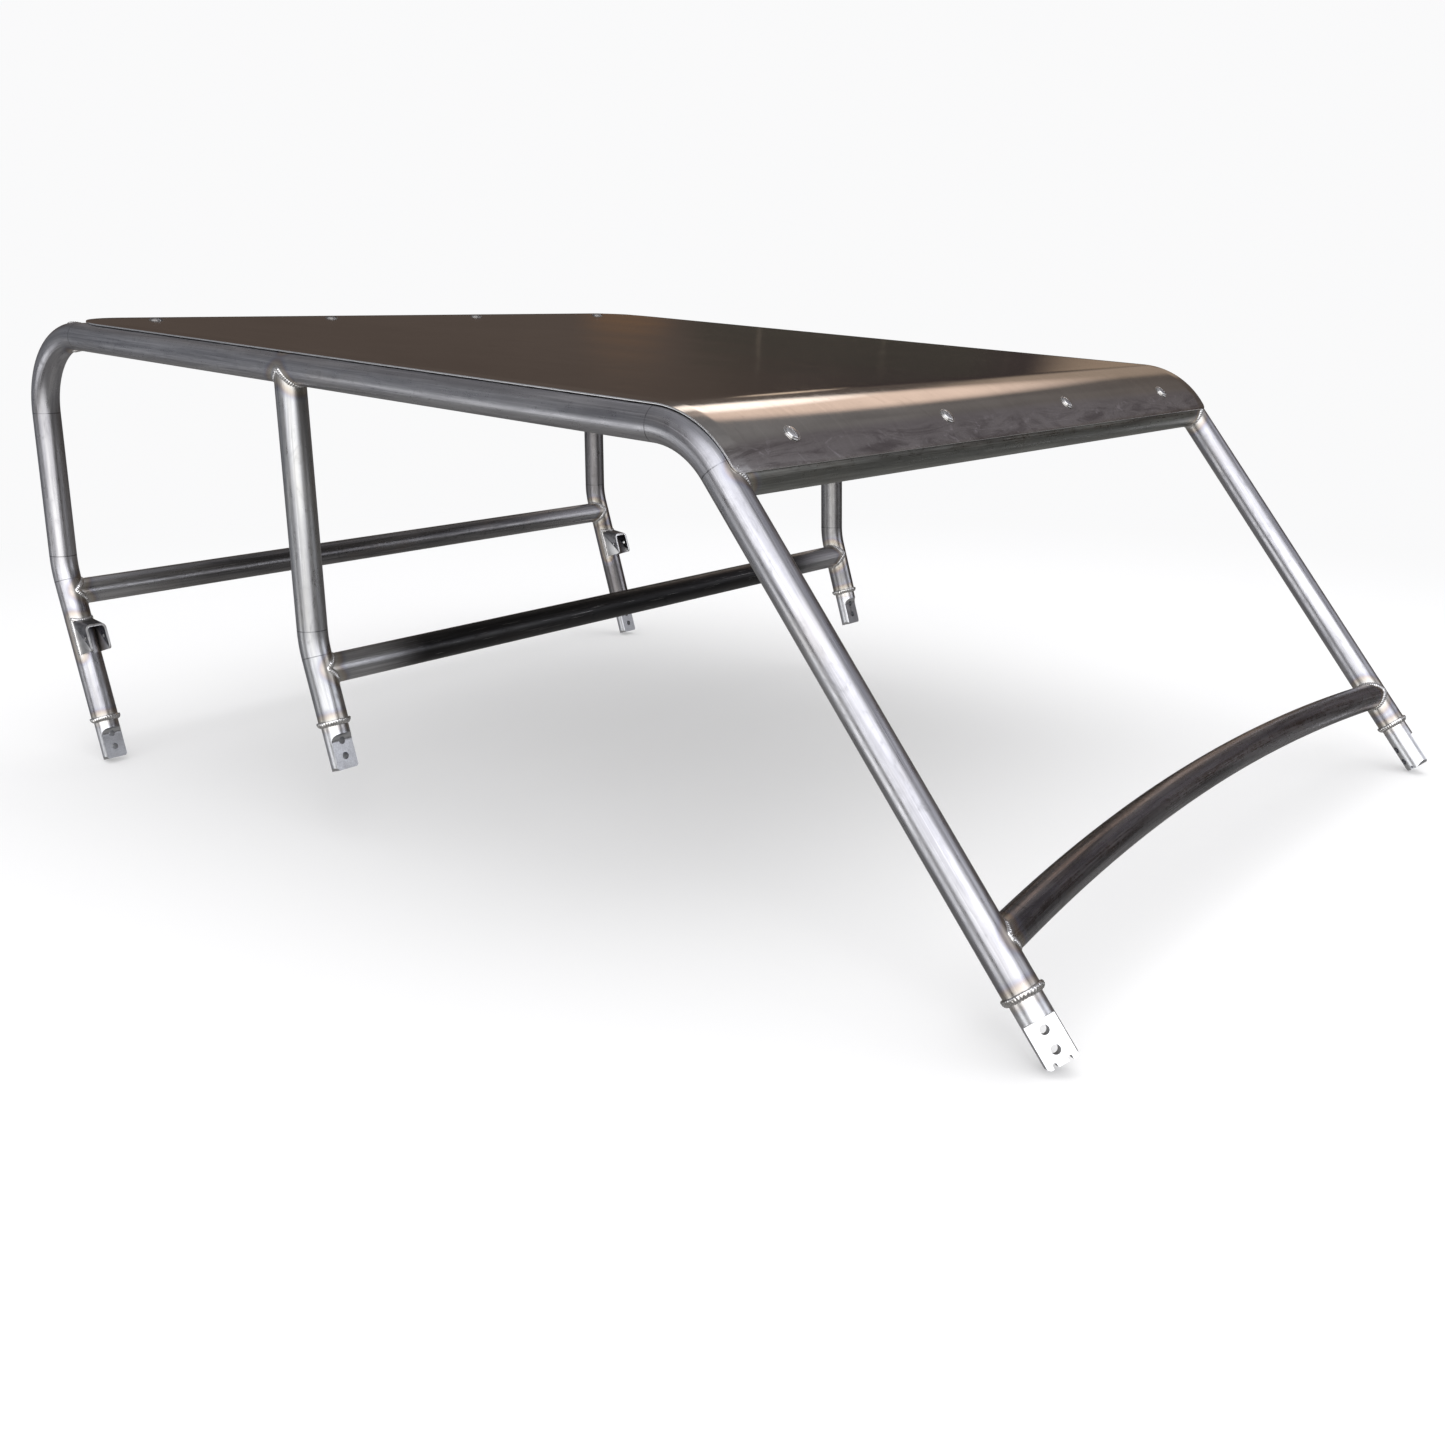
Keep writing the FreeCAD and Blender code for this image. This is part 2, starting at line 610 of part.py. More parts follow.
def panel_profile(y, drop):
    """Closed outline of the sheet's section at y, sunk by drop."""
    under = TUBE_RAD + dim("panel_lift") - drop
    low = panel_line(y, under)
    top = panel_line(y, under + dim("panel_thick"))
    return Part.Wire([
        Part.makeLine(low[0], low[1]), Part.Arc(low[1], low[2], low[3]).toShape(),
        Part.makeLine(low[3], low[4]), Part.makeLine(low[4], low[5]),
        Part.makeLine(low[5], top[5]),
        Part.makeLine(top[5], top[4]), Part.makeLine(top[4], top[3]),
        Part.Arc(top[3], top[2], top[1]).toShape(), Part.makeLine(top[1], top[0]),
        Part.makeLine(top[0], low[0])])


def corner_tool(place, radius, over, half_high, x_sign, y_sign):
    """What to cut off a corner; place is the rounding's centre, the signs point outward."""
    size = radius + over
    square = Part.makeBox(size, size, 2 * half_high)
    square.Placement = moved(place, min(0, x_sign * size), min(0, y_sign * size), -half_high)
    keeper = Part.makeCylinder(radius, 2 * half_high + 10)
    keeper.Placement = moved(place, 0, 0, -half_high - 5)
    return square.cut(keeper)


def panel_blank():
    half = dim("panel_half_wide")
    break_y = half - dim("panel_break_in")
    slab = Part.makeLoft([panel_profile(-break_y, 0.0), panel_profile(break_y, 0.0)], True, True)
    bands = [Part.makeLoft([panel_profile(sign * break_y, 0.0),
                            panel_profile(sign * half, dim("panel_break_drop"))], True, True)
             for sign in (-1, 1)]
    blank = slab.fuse(bands)
    radius = dim("panel_back_rad")
    # 460 is a height that centres the cutter on the sheet's rear edge, roughly
    centre = Vector(dim("panel_back_x") + radius, 0, 460)
    for sign in (-1, 1):
        place = Placement(at(centre, sign * (half - radius)), Rotation())
        blank = blank.cut(corner_tool(place, radius, 20, 80, -1, sign))
    radius = dim("panel_front_rad")
    centre = on_front(dim("lip_end_run") - radius, TUBE_RAD + 2)
    for sign in (-1, 1):
        place = Placement(at(centre, sign * (half - radius)), axes(DOWN_FRONT, OFF_FRONT))
        blank = blank.cut(corner_tool(place, radius, 8, 15, 1, sign))
    feature = doc.addObject("Part::Feature", "panel_blank")
    feature.Shape = blank.removeSplitter()
    return feature


# --------------------------------------------------------------------------
# quarter-turn fasteners: local origin on the sheet's top, +Z out of the sheet, +Y
# across the roof and +X toward the header tube that the tab is welded to
# --------------------------------------------------------------------------
TAB_TOP = -(dim("panel_thick") + dim("tab_gap"))
TAB_UNDER = TAB_TOP - dim("tab_thick")
WIRE_Z = TAB_UNDER - dim("spring_wire_rad") - dim("spring_slack")
EYE_RAD = "(Dims.rivet_rad + Dims.eye_slack + Dims.spring_wire_rad)"
# middle of the head's dome, as shares of the head's radius and height
DOME_OUT, DOME_UP = 0.66, 0.82


def ring(name, radius, thick, place):
    disc = cylinder(name + "_disc", radius, thick, place)
    return cut(name, disc, drill(name + "_bore", "Dims.washer_bore_rad", thick, place))


def washer(tag, place):
    return ring(tag + "_washer", "Dims.washer_rad", "Dims.washer_thick",
                moved(place, 0, 0, dim("washer_gap")))


def retainer(tag, place):
    return ring(tag + "_retainer", "Dims.washer_rad - Dims.retainer_inset",
                "Dims.washer_thick - Dims.retainer_thinner",
                moved(place, 0, 0, -dim("panel_thick") - dim("retainer_drop")))


def tab(tag, place, header):
    """A plate under the sheet with a web down to the header tube, whose axis is at
    header in the fastener's own axes."""
    name = tag + "_tab"
    wide, thick, half_len = dim("tab_wide"), dim("tab_thick"), dim("tab_len") / 2
    web_high = abs(header.z) - abs(TAB_UNDER) + dim("web_extra")
    plate = box(name + "_plate", "Dims.tab_len", "Dims.tab_wide", "Dims.tab_thick",
                moved(place, -half_len, -wide / 2, TAB_UNDER))
    web = box(name + "_web", "Dims.tab_thick", "Dims.tab_wide", web_high,
              moved(place, half_len - thick, -wide / 2,
                    TAB_UNDER - web_high + dim("web_overlap")))
    stud_hole = drill(name + "_hole", "Dims.tab_hole_rad", "Dims.tab_thick",
                      moved(place, 0, 0, TAB_UNDER))
    rivet_holes = [drill("%s_rivet_hole%d" % (tag, k), "Dims.rivet_rad", "Dims.tab_thick",
                         moved(place, 0, sign * dim("spring_half"), TAB_UNDER))
                   for k, sign in enumerate((-1, 1))]
    cope = drill(name + "_cope", "Dims.tube_od / 2", "Dims.tab_wide",
                 moved(place, header.x, -wide / 2, header.z, ALONG_Y), margin=10)
    return cut(name, fuse(name + "_blank", plate, web), stud_hole, *rivet_holes, cope)


def spring(tag, place):
    """A straight wire with an eye at each end, under the tab."""
    half = dim("spring_half")
    eye_rad = dim("rivet_rad") + dim("eye_slack") + dim("spring_wire_rad")
    eyes = [solid("Torus", "%s_eye%d" % (tag, k), moved(place, 0, sign * half, WIRE_Z),
                  Radius1=EYE_RAD, Radius2="Dims.spring_wire_rad")
            for k, sign in enumerate((-1, 1))]
    wire = cylinder(tag + "_wire", "Dims.spring_wire_rad",
                    "2 * (Dims.spring_half - %s)" % EYE_RAD,
                    moved(place, 0, -(half - eye_rad), WIRE_Z, ALONG_Y))
    return fuse(tag + "_spring", eyes[0], wire, eyes[1])


def rivet(tag, place, k, sign):
    """Flush on top of the tab, headed under the eye."""
    y = sign * dim("spring_half")
    under_eye = WIRE_Z - dim("spring_wire_rad") - dim("spring_slack")
    shank = cylinder("%s_rivet_shank%d" % (tag, k), "Dims.rivet_rad",
                     "Dims.tab_thick + 2 * (Dims.spring_wire_rad + Dims.spring_slack)",
                     moved(place, 0, y, under_eye))
    head = cylinder("%s_rivet_head%d" % (tag, k), "Dims.rivet_rad + Dims.rivet_lip",
                    "Dims.rivet_head_high",
                    moved(place, 0, y, under_eye - dim("rivet_head_high")))
    return fuse("%s_rivet%d" % (tag, k), shank, head)


def stud(label, place):
    """Slotted head, round shank, and a cam groove at the foot for the spring wire."""
    body = doc.addObject("PartDesign::Body", label)
    shank_rad, head_rad = dim("stud_rad"), dim("stud_head_rad")
    chamfer, top_rad = dim("stud_chamfer"), dim("stud_top_rad")
    seat_z = dim("washer_thick") + dim("washer_gap")
    edge_z = seat_z + dim("stud_edge_high")
    top_z = seat_z + dim("stud_head_high")
    foot_z = WIRE_Z - dim("stud_reach")

    profile = plane_sketch(body, label + "_section", "XZ_Plane")
    outline = [(0, foot_z), (shank_rad - chamfer, foot_z), (shank_rad, foot_z + chamfer),
               (shank_rad, seat_z), (head_rad, seat_z), (head_rad, edge_z)]
    for start, end in zip(outline, outline[1:]):
        add_line(profile, start, end)
    dome_middle = Vector(head_rad * DOME_OUT, seat_z + dim("stud_head_high") * DOME_UP, 0)
    profile.addGeometry(
        Part.Arc(Vector(head_rad, edge_z, 0), dome_middle, Vector(top_rad, top_z, 0)), False)
    add_line(profile, (top_rad, top_z), (0, top_z))
    add_line(profile, (0, top_z), (0, foot_z))
    doc.recompute()
    turned = body.newObject("PartDesign::Revolution", label + "_turned")
    turned.Profile = profile
    turned.ReferenceAxis = (profile, ["V_Axis"])
    turned.Angle = 360
    doc.recompute()

    slot_half, slot_z = dim("slot_wide") / 2, top_z - dim("slot_deep")
    polygon_pocket(body, label + "_slot", "YZ_Plane",
                   [(-slot_half, top_z + 1), (-slot_half, slot_z),
                    (slot_half, slot_z), (slot_half, top_z + 1)])

    # the groove sweeps a quarter turn, and again on the other side of the shank
    groove_half = dim("spring_wire_rad") + dim("groove_slack")
    low_z, high_z = WIRE_Z - groove_half, WIRE_Z + groove_half
    band, _ = closed_sketch(body, label + "_groove_outline", "YZ_Plane",
                            [(0, low_z), (shank_rad + 1, low_z),
                             (shank_rad + 1, high_z), (0, high_z)])
    doc.recompute()
    groove = body.newObject("PartDesign::Groove", label + "_groove")
    groove.Profile = band
    groove.ReferenceAxis = (band, ["V_Axis"])
    groove.Angle = 90
    groove.Reversed = True
    doc.recompute()
    body.Tip = groove
    doc.recompute()
    pattern = body.newObject("PartDesign::PolarPattern", label + "_grooves")
    pattern.Originals = [groove]
    pattern.Axis = (profile, ["V_Axis"])
    pattern.Angle = 360
    pattern.Occurrences = 2
    body.Tip = pattern
    doc.recompute()

    # straight ways for the wire at both ends of the quarter turn; one opens down
    for key, role, start_z in (("hold", "XZ_Plane", low_z), ("entry", "YZ_Plane", foot_z - 1)):
        polygon_pocket(body, "%s_%s" % (label, key), role,
                       [(-groove_half, start_z), (groove_half, start_z),
                        (groove_half, high_z), (-groove_half, high_z)])
    body.Placement = place
    doc.recompute()
    node(body, label)


def fastener_row(row, point, out, toward, header):
    """Four fasteners across the roof; returns the cylinders that pierce the panel.
    out is square to the sheet, toward runs along it to the header tube."""
    stations = [(str(k + 1), Placement(at(point, (k - 1.5) * dim("stud_gap")), axes(toward, out)))
                for k in range(4)]
    tagged = [("%s_%s" % (row, number), place) for number, place in stations]
    to_header = header - point
    header_local = Vector(to_header.dot(toward), 0, to_header.dot(out))
    holes = [drill(tag + "_panel_hole", "Dims.panel_hole_rad", "Dims.panel_thick",
                   moved(place, 0, 0, -dim("panel_thick")), margin=4)
             for tag, place in tagged]
    pieces = {
        "stud_washers": [washer(tag, place) for tag, place in tagged],
        "stud_retainers": [retainer(tag, place) for tag, place in tagged],
        "fastener_tabs": [tab(tag, place, header_local) for tag, place in tagged],
        "receptacle_springs": [spring(tag, place) for tag, place in tagged],
        "spring_rivets": [rivet(tag, place, k, sign) for tag, place in tagged
                          for k, sign in enumerate((-1, 1))],
    }
    for key, members in pieces.items():
        group = doc.addObject("Part::Compound", "%s_%s_group" % (row, key))
        group.Links = members
        node(group, "%s_%s" % (row, key))
    for number, place in stations:
        stud("%s_stud_%s" % (row, number), place)
    return holes


blank_panel = panel_blank()
sheet_top = TUBE_RAD + dim("panel_lift") + dim("panel_thick")
# the front row is on the bend, a little above its lower end
top_bend = ROOF_BEND + sheet_top
front_angle = FRONT - math.asin((FRONT_TANGENT - dim("front_stud_run")) / top_bend)
front_out = off_slope(front_angle)
panel_holes = fastener_row("front", FRONT_BEND_CENTRE + front_out * top_bend, front_out,
                           down_slope(front_angle), FRONT_HEADER)
panel_holes += fastener_row("rear", on_rail(dim("rear_stud_x"), sheet_top), off_slope(SLOPE),
                            down_slope(SLOPE) * -1, REAR_HEADER)
doc.recompute()
node(cut("panel", blank_panel, *panel_holes), "roof_panel")
doc.recompute()

# --------------------------------------------------------------------------
# checks and export
# --------------------------------------------------------------------------
for obj in doc.Objects:
    state = list(getattr(obj, "State", []))
    if "Invalid" in state or "Error" in state:
        raise RuntimeError("%s is %s" % (obj.Name, state))
for obj in NODES:
    if obj.Shape.isNull() or not obj.Shape.isValid() or not obj.Shape.Solids:
        raise RuntimeError("bad shape in " + obj.Label)

os.makedirs("parts", exist_ok=True)
for obj in NODES:
    obj.Shape.exportStep("parts/%s.step" % obj.Label)
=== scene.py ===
"""A tubular cage with a sheet roof: two bent side hoops and two middle pillars, the bars
between them, six machined feet, two leg brackets, and a roof panel held by two rows of studs.

+X is forward, +Y left and +Z up. Cage places (x, z) count from 1 mm behind the rear cross
bar's axis, and at() moves them into the frame. Lengths are metres and angles radians.
"""
import bpy
import bmesh
import json
import math
import numpy as np
from mathutils import Matrix, Vector
from mathutils.kdtree import KDTree

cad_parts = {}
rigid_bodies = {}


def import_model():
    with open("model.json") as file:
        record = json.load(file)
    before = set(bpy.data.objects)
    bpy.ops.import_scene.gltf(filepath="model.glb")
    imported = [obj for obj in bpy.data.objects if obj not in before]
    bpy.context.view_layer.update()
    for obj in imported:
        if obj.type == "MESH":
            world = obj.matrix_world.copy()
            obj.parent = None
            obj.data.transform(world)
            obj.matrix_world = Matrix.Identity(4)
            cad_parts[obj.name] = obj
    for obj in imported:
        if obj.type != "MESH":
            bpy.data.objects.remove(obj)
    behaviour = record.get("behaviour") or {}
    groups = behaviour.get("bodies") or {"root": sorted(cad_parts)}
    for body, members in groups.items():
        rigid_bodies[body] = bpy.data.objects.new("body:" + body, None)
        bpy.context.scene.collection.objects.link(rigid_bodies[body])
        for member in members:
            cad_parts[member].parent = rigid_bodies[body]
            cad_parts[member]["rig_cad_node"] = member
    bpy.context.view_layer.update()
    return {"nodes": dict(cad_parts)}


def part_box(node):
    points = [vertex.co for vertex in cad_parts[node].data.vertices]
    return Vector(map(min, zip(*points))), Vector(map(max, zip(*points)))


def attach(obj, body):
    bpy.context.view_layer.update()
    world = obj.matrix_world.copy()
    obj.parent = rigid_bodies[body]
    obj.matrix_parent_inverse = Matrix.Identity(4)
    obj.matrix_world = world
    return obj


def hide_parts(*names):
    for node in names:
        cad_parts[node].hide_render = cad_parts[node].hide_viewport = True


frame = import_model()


for stray in ("Cube", "Light", "Camera"):
    if stray in bpy.data.objects and "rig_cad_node" not in bpy.data.objects[stray]:
        bpy.data.objects.remove(bpy.data.objects[stray])

# ---------------------------------------------------------------------------
# driving dimensions
# ---------------------------------------------------------------------------
MM = 0.001
TUBE_R, BORE_R = 0.022225, 0.019825
HALF_WIDTH = 0.675                      # middle plane to a side hoop's axis
SIDES = (("right", -HALF_WIDTH), ("left", HALF_WIDTH))
KICK = math.radians(17.0)               # lower legs, back from upright
SLOPE = math.radians(3.72)              # roof rails, down towards the front
FRONT = math.radians(51.8)              # front legs, below level
LEAN = math.radians(1.4)                # upper pillars, back from upright
ROOF_R, KICK_R = 0.127, 0.150           # bend radii of the tubes' axes

HOOP_FOOT = (0.0669, -0.2155)
LEG_LOW, LEG_HIGH, RAIL, FRONT_LEG = 0.2474, 0.2425, 1.2313, 0.660  # hoop's straight runs
PILLAR_FOOT = (0.714, -0.112)
PILLAR_LOW, PILLAR_HIGH = 0.100, 0.373  # pillar's straight runs
REAR_BAR = (0.001, 0.0)
REAR_HEADER_X = 0.098

low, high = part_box("rear_cross_bar")
SHIFT_X, SHIFT_Z = REAR_BAR[0] - (low.x + high.x) / 2, (low.z + high.z) / 2


def vec(*a):
    return np.array(a, float)


def at(x, y, z):
    """A cage place in the frame."""
    return vec(x - SHIFT_X, y, z + SHIFT_Z)


def unit(a):
    a = np.asarray(a, float)
    return a / np.linalg.norm(a, axis=-1, keepdims=True)


def tangent_length(radius, turn):
    """From a bend's end to the corner that its straight runs point at."""
    return radius * math.tan(turn / 2)


KICK_TAN = tangent_length(KICK_R, KICK)
BACK_TAN = tangent_length(ROOF_R, math.pi / 2 + SLOPE)
FRONT_TAN = tangent_length(ROOF_R, FRONT - SLOPE)
kick_x = HOOP_FOOT[0] - math.sin(KICK) * (LEG_LOW + KICK_TAN)
kick_z = HOOP_FOOT[1] + math.cos(KICK) * (LEG_LOW + KICK_TAN)
BACK_CORNER = (kick_x, kick_z + KICK_TAN + LEG_HIGH + BACK_TAN)
SPAN = BACK_TAN + RAIL + FRONT_TAN
FRONT_CORNER = (BACK_CORNER[0] + SPAN * math.cos(SLOPE), BACK_CORNER[1] - SPAN * math.sin(SLOPE))


def on_front(run, off=0.0):
    """A place down the front leg from the front corner, off outward from its axis."""
    return (FRONT_CORNER[0] + run * math.cos(FRONT) + off * math.sin(FRONT),
            FRONT_CORNER[1] - run * math.sin(FRONT) + off * math.cos(FRONT))


def on_rail(x, off=0.0):
    """A place on the roof rail at x, off upward from its axis."""
    return (x + off * math.sin(SLOPE),
            BACK_CORNER[1] - (x - BACK_CORNER[0]) * math.tan(SLOPE) + off * math.cos(SLOPE))


X, Y, Z = vec(1, 0, 0), vec(0, 1, 0), vec(0, 0, 1)
LEG_DOWN, LEG_FORE = vec(math.sin(KICK), 0, -math.cos(KICK)), vec(math.cos(KICK), 0, math.sin(KICK))
FRONT_DOWN, FRONT_UP = vec(math.cos(FRONT), 0, -math.sin(FRONT)), vec(math.sin(FRONT), 0, math.cos(FRONT))
RAIL_FORE = vec(math.cos(SLOPE), 0, -math.sin(SLOPE))

# where the cross tubes meet the sides
pillar_run = PILLAR_LOW + tangent_length(KICK_R, KICK - LEAN)
pillar_x = PILLAR_FOOT[0] - math.sin(KICK) * pillar_run
pillar_z = PILLAR_FOOT[1] + math.cos(KICK) * pillar_run
MIDDLE = on_rail(pillar_x - math.tan(LEAN) * (on_rail(pillar_x)[1] - pillar_z))
FRONT_HEADER = on_front(0.069)
rear_along = BACK_TAN - (REAR_HEADER_X - BACK_CORNER[0]) / math.cos(SLOPE)
REAR_HEADER = (REAR_HEADER_X,
               on_rail(REAR_HEADER_X)[1] - (ROOF_R - math.sqrt(ROOF_R ** 2 - rear_along ** 2)))
HOOP_END = on_front(FRONT_TAN + FRONT_LEG)
ARCH_END = on_front(0.659)
CROSS_TUBES = {
    "rear_cross_bar": REAR_BAR, "harness_bar": (0.691, -0.037), "front_header_tube": FRONT_HEADER,
    "rear_header_tube": REAR_HEADER, "middle_roof_tube": MIDDLE,
}


# ---------------------------------------------------------------------------
# paths
# ---------------------------------------------------------------------------
JOINT_STEP, JOINT_REACH = 0.0028, 0.026  # closer rings near a joint, and how far past the tube
LEAST_STEP = 0.0006


def around_bend(u, v, heading, radius, turn):
    """Place and heading after a turn; radius carries the turn's sign."""
    after = heading + turn
    return (u - radius * math.sin(heading) + radius * math.sin(after),
            v + radius * math.cos(heading) - radius * math.cos(after), after)


class Path:
    """Straight runs joined by tangent bends, in the plane of e1 and e2 from origin."""

    def __init__(self, origin, e1, e2, heading, runs, bends=()):
        self.origin, self.e1, self.e2 = vec(*origin), unit(e1), unit(e2)
        self.out = np.cross(self.e1, self.e2)
        self.parts = []  # (start, end, u, v, heading, signed radius or 0 for a straight run)
        self.marks = []  # arc lengths where bends start and end
        u, v, s = 0.0, 0.0, 0.0
        for i, run in enumerate(runs):
            self.parts.append((s, s + run, u, v, heading, 0.0))
            u, v, s = u + run * math.cos(heading), v + run * math.sin(heading), s + run
            if i < len(bends):
                turn, radius = bends[i]
                end = s + abs(turn) * radius
                radius = math.copysign(radius, turn)
                self.parts.append((s, end, u, v, heading, radius))
                self.marks += [s, end]
                u, v, heading = around_bend(u, v, heading, radius, turn)
                s = end
        self.length = s

    def __call__(self, s):
        """(point, tangent, in-plane normal) at the arc length s, also beyond both ends."""
        for start, end, u, v, heading, radius in self.parts:
            if s <= end or end == self.length:
                break
        if radius:
            u, v, heading = around_bend(u, v, heading, radius, (s - start) / radius)
        else:
            u, v = u + (s - start) * math.cos(heading), v + (s - start) * math.sin(heading)
        return (self.origin + u * self.e1 + v * self.e2,
                math.cos(heading) * self.e1 + math.sin(heading) * self.e2,
                -math.sin(heading) * self.e1 + math.cos(heading) * self.e2)

    def samples(self, fine_at=(), length=None, straight_step=0.03):
        """Arc lengths for rings: even along each part, closer at marks and around fine_at."""
        length = self.length if length is None else length
        out = {0.0, round(length, 6)}
        for start, end, *_, radius in self.parts:
            step = straight_step
            if radius:
                step = 0.02 if abs(radius) > 1.0 else abs(radius) * math.radians(3.0)
            n = max(1, int(math.ceil((end - start) / step)))
            out |= {round(start + (end - start) * i / n, 6) for i in range(n + 1)}
        for mark in self.marks:
            out |= {round(mark + d, 6) for d in (-0.0012, 0.0012)}
        reach = JOINT_REACH + TUBE_R
        for joint in fine_at:
            out |= {round(joint + d, 6) for d in np.arange(-JOINT_REACH - TUBE_R, reach, JOINT_STEP)}
        good = sorted(s for s in out if -1e-9 <= s <= length + 1e-9)
        kept = [good[0]]
        for s in good[1:]:
            if s - kept[-1] > LEAST_STEP or s == good[-1]:
                kept.append(s)
        return np.array(kept)

    def nearest(self, x, z):
        """Arc length nearest to a cage place in the side view."""
        goal = at(x, 0, z)
        steps = np.linspace(0, self.length, 4000)
        gaps = [np.hypot(*(self(s)[0] - goal)[[0, 2]]) for s in steps]
        return float(steps[int(np.argmin(gaps))])


def hoop_path(y):
    return Path(at(HOOP_FOOT[0], y, HOOP_FOOT[1]), X, Z, math.radians(90) + KICK,
                [LEG_LOW, LEG_HIGH, RAIL, FRONT_LEG],
                [(-KICK, KICK_R), (-(math.pi / 2 + SLOPE), ROOF_R), (-(FRONT - SLOPE), ROOF_R)])


def pillar_path(y):
    return Path(at(PILLAR_FOOT[0], y, PILLAR_FOOT[1]), X, Z, math.radians(90) + KICK,
                [PILLAR_LOW, PILLAR_HIGH], [(-(KICK - LEAN), KICK_R)])


# ---------------------------------------------------------------------------
# mesh helpers
# ---------------------------------------------------------------------------
def fix_normals(obj):
    bm = bmesh.new()
    bm.from_mesh(obj.data)
    bmesh.ops.recalc_face_normals(bm, faces=bm.faces)
    bm.to_mesh(obj.data)
    bm.free()


def mesh_object(name, verts, faces, attrs=None, smooth=True):
    """A linked object with outward normals; attrs are point attributes, numbers or vectors."""
    mesh = bpy.data.meshes.new(name)
    faces = [tuple(int(i) for i in face) for face in faces]
    mesh.from_pydata([tuple(v) for v in np.asarray(verts, float)], [], faces)
    mesh.validate()
    if smooth:
        mesh.shade_smooth()
    for key, values in (attrs or {}).items():
        values = np.asarray(values, np.float32)
        if values.ndim == 1:
            mesh.attributes.new(key, "FLOAT", "POINT").data.foreach_set("value", values)
        else:
            data = mesh.attributes.new(key, "FLOAT_VECTOR", "POINT").data
            data.foreach_set("vector", values.ravel())
    obj = bpy.data.objects.new(name, mesh)
    bpy.context.scene.collection.objects.link(obj)
    fix_normals(obj)
    return obj


def sharpen(obj, degrees):
    obj.data.set_sharp_from_angle(angle=math.radians(degrees))


def angles(count):
    return np.arange(count) * 2 * math.pi / count


def circle(e1, e2, count):
    """Unit offsets around a circle in the plane of e1 and e2."""
    angle = angles(count)
    return np.outer(np.cos(angle), e1) + np.outer(np.sin(angle), e2)


def band(near, far, count, inward=False):
    """Quads between two rings of count points that start at the indices near and far."""
    j = np.arange(count)
    k = (j + 1) % count
    if inward:
        return list(zip(near + j, far + j, far + k, near + k))
    return list(zip(near + j, near + k, far + k, far + j))


def cope_run(centre, along, offsets, main, far, trim):
    """How far along each point centre + offsets is from the main tube's surface.

    main is (point, direction). far picks the surface's far side, and the run is at least trim.
    """
    point, direction = main
    direction = unit(direction)
    across = along - (along @ direction) * direction
    gap = centre + offsets - point
    gap = gap - np.outer(gap @ direction, direction)
    qa, qb, qc = across @ across, 2 * (gap @ across), (gap * gap).sum(1) - TUBE_R ** 2
    root = np.sqrt(np.maximum(qb * qb - 4 * qa * qc, 0.0))
    run = (-qb + (root if far else -root)) / (2 * qa)
    return np.maximum(run, trim) if far else np.minimum(run, -trim)


def joined(objs, name):
    """One object out of several, keeping their attributes."""
    bpy.ops.object.select_all(action="DESELECT")
    for obj in objs:
        obj.select_set(True)
    bpy.context.view_layer.objects.active = objs[0]
    bpy.ops.object.join()
    objs[0].name = name
    objs[0].data.name = name
    return objs[0]


def bake(obj):
    """Applies the modifiers."""
    deps = bpy.context.evaluated_depsgraph_get()
    mesh = bpy.data.meshes.new_from_object(obj.evaluated_get(deps), preserve_all_data_layers=True,
                                           depsgraph=deps)
    old = obj.data
    obj.modifiers.clear()
    obj.data = mesh
    bpy.data.meshes.remove(old)


def arc(cx, cy, radius, start, end, n):
    return [(cx + radius * math.cos(a), cy + radius * math.sin(a)) for a in np.linspace(start, end, n)]


def disc(cx, cy, radius, n):
    return arc(cx, cy, radius, 0, 2 * math.pi * (1 - 1 / n), n)


def prism(outline, base, e1, e2, push, depth):
    """A closed prism: outline in the plane of e1 and e2, pushed along push by depth."""
    outline = np.asarray(outline, float)
    near = base + outline[:, :1] * e1 + outline[:, 1:] * e2
    n = len(outline)
    faces = [tuple(range(n)), tuple(range(2 * n - 1, n - 1, -1))]
    faces += [(i, i + n, (i + 1) % n + n, (i + 1) % n) for i in range(n)]
    return mesh_object("cutter", np.concatenate([near, near + push * depth]), faces, smooth=False)


def cut(obj, outline, base, e1, e2, push, depth, operation="DIFFERENCE"):
    """Cuts obj with a prism, or keeps only what is inside it with INTERSECT."""
    tool = prism(outline, base, e1, e2, push, depth)
    modifier = obj.modifiers.new("b", "BOOLEAN")
    modifier.operation, modifier.object, modifier.solver = operation, tool, "EXACT"
    bake(obj)
    bpy.data.objects.remove(tool)


def bevel(obj, width, angle=35, segments=2, smooth=40):
    modifier = obj.modifiers.new("bv", "BEVEL")
    modifier.width, modifier.segments = width, segments
    modifier.limit_method, modifier.angle_limit = "ANGLE", math.radians(angle)
    modifier.use_clamp_overlap = True
    bake(obj)
    obj.data.shade_smooth()
    sharpen(obj, smooth)


def paint_cut(obj, rule):
    """Marks the faces that rule picks, by normal and middle, as sawn or sheared edges."""
    values = np.array([1.0 if rule(np.array(face.normal), np.array(face.center)) else 0.0
                       for face in obj.data.polygons], np.float32)
    obj.data.attributes.new("cut", "FLOAT", "FACE").data.foreach_set("value", values)


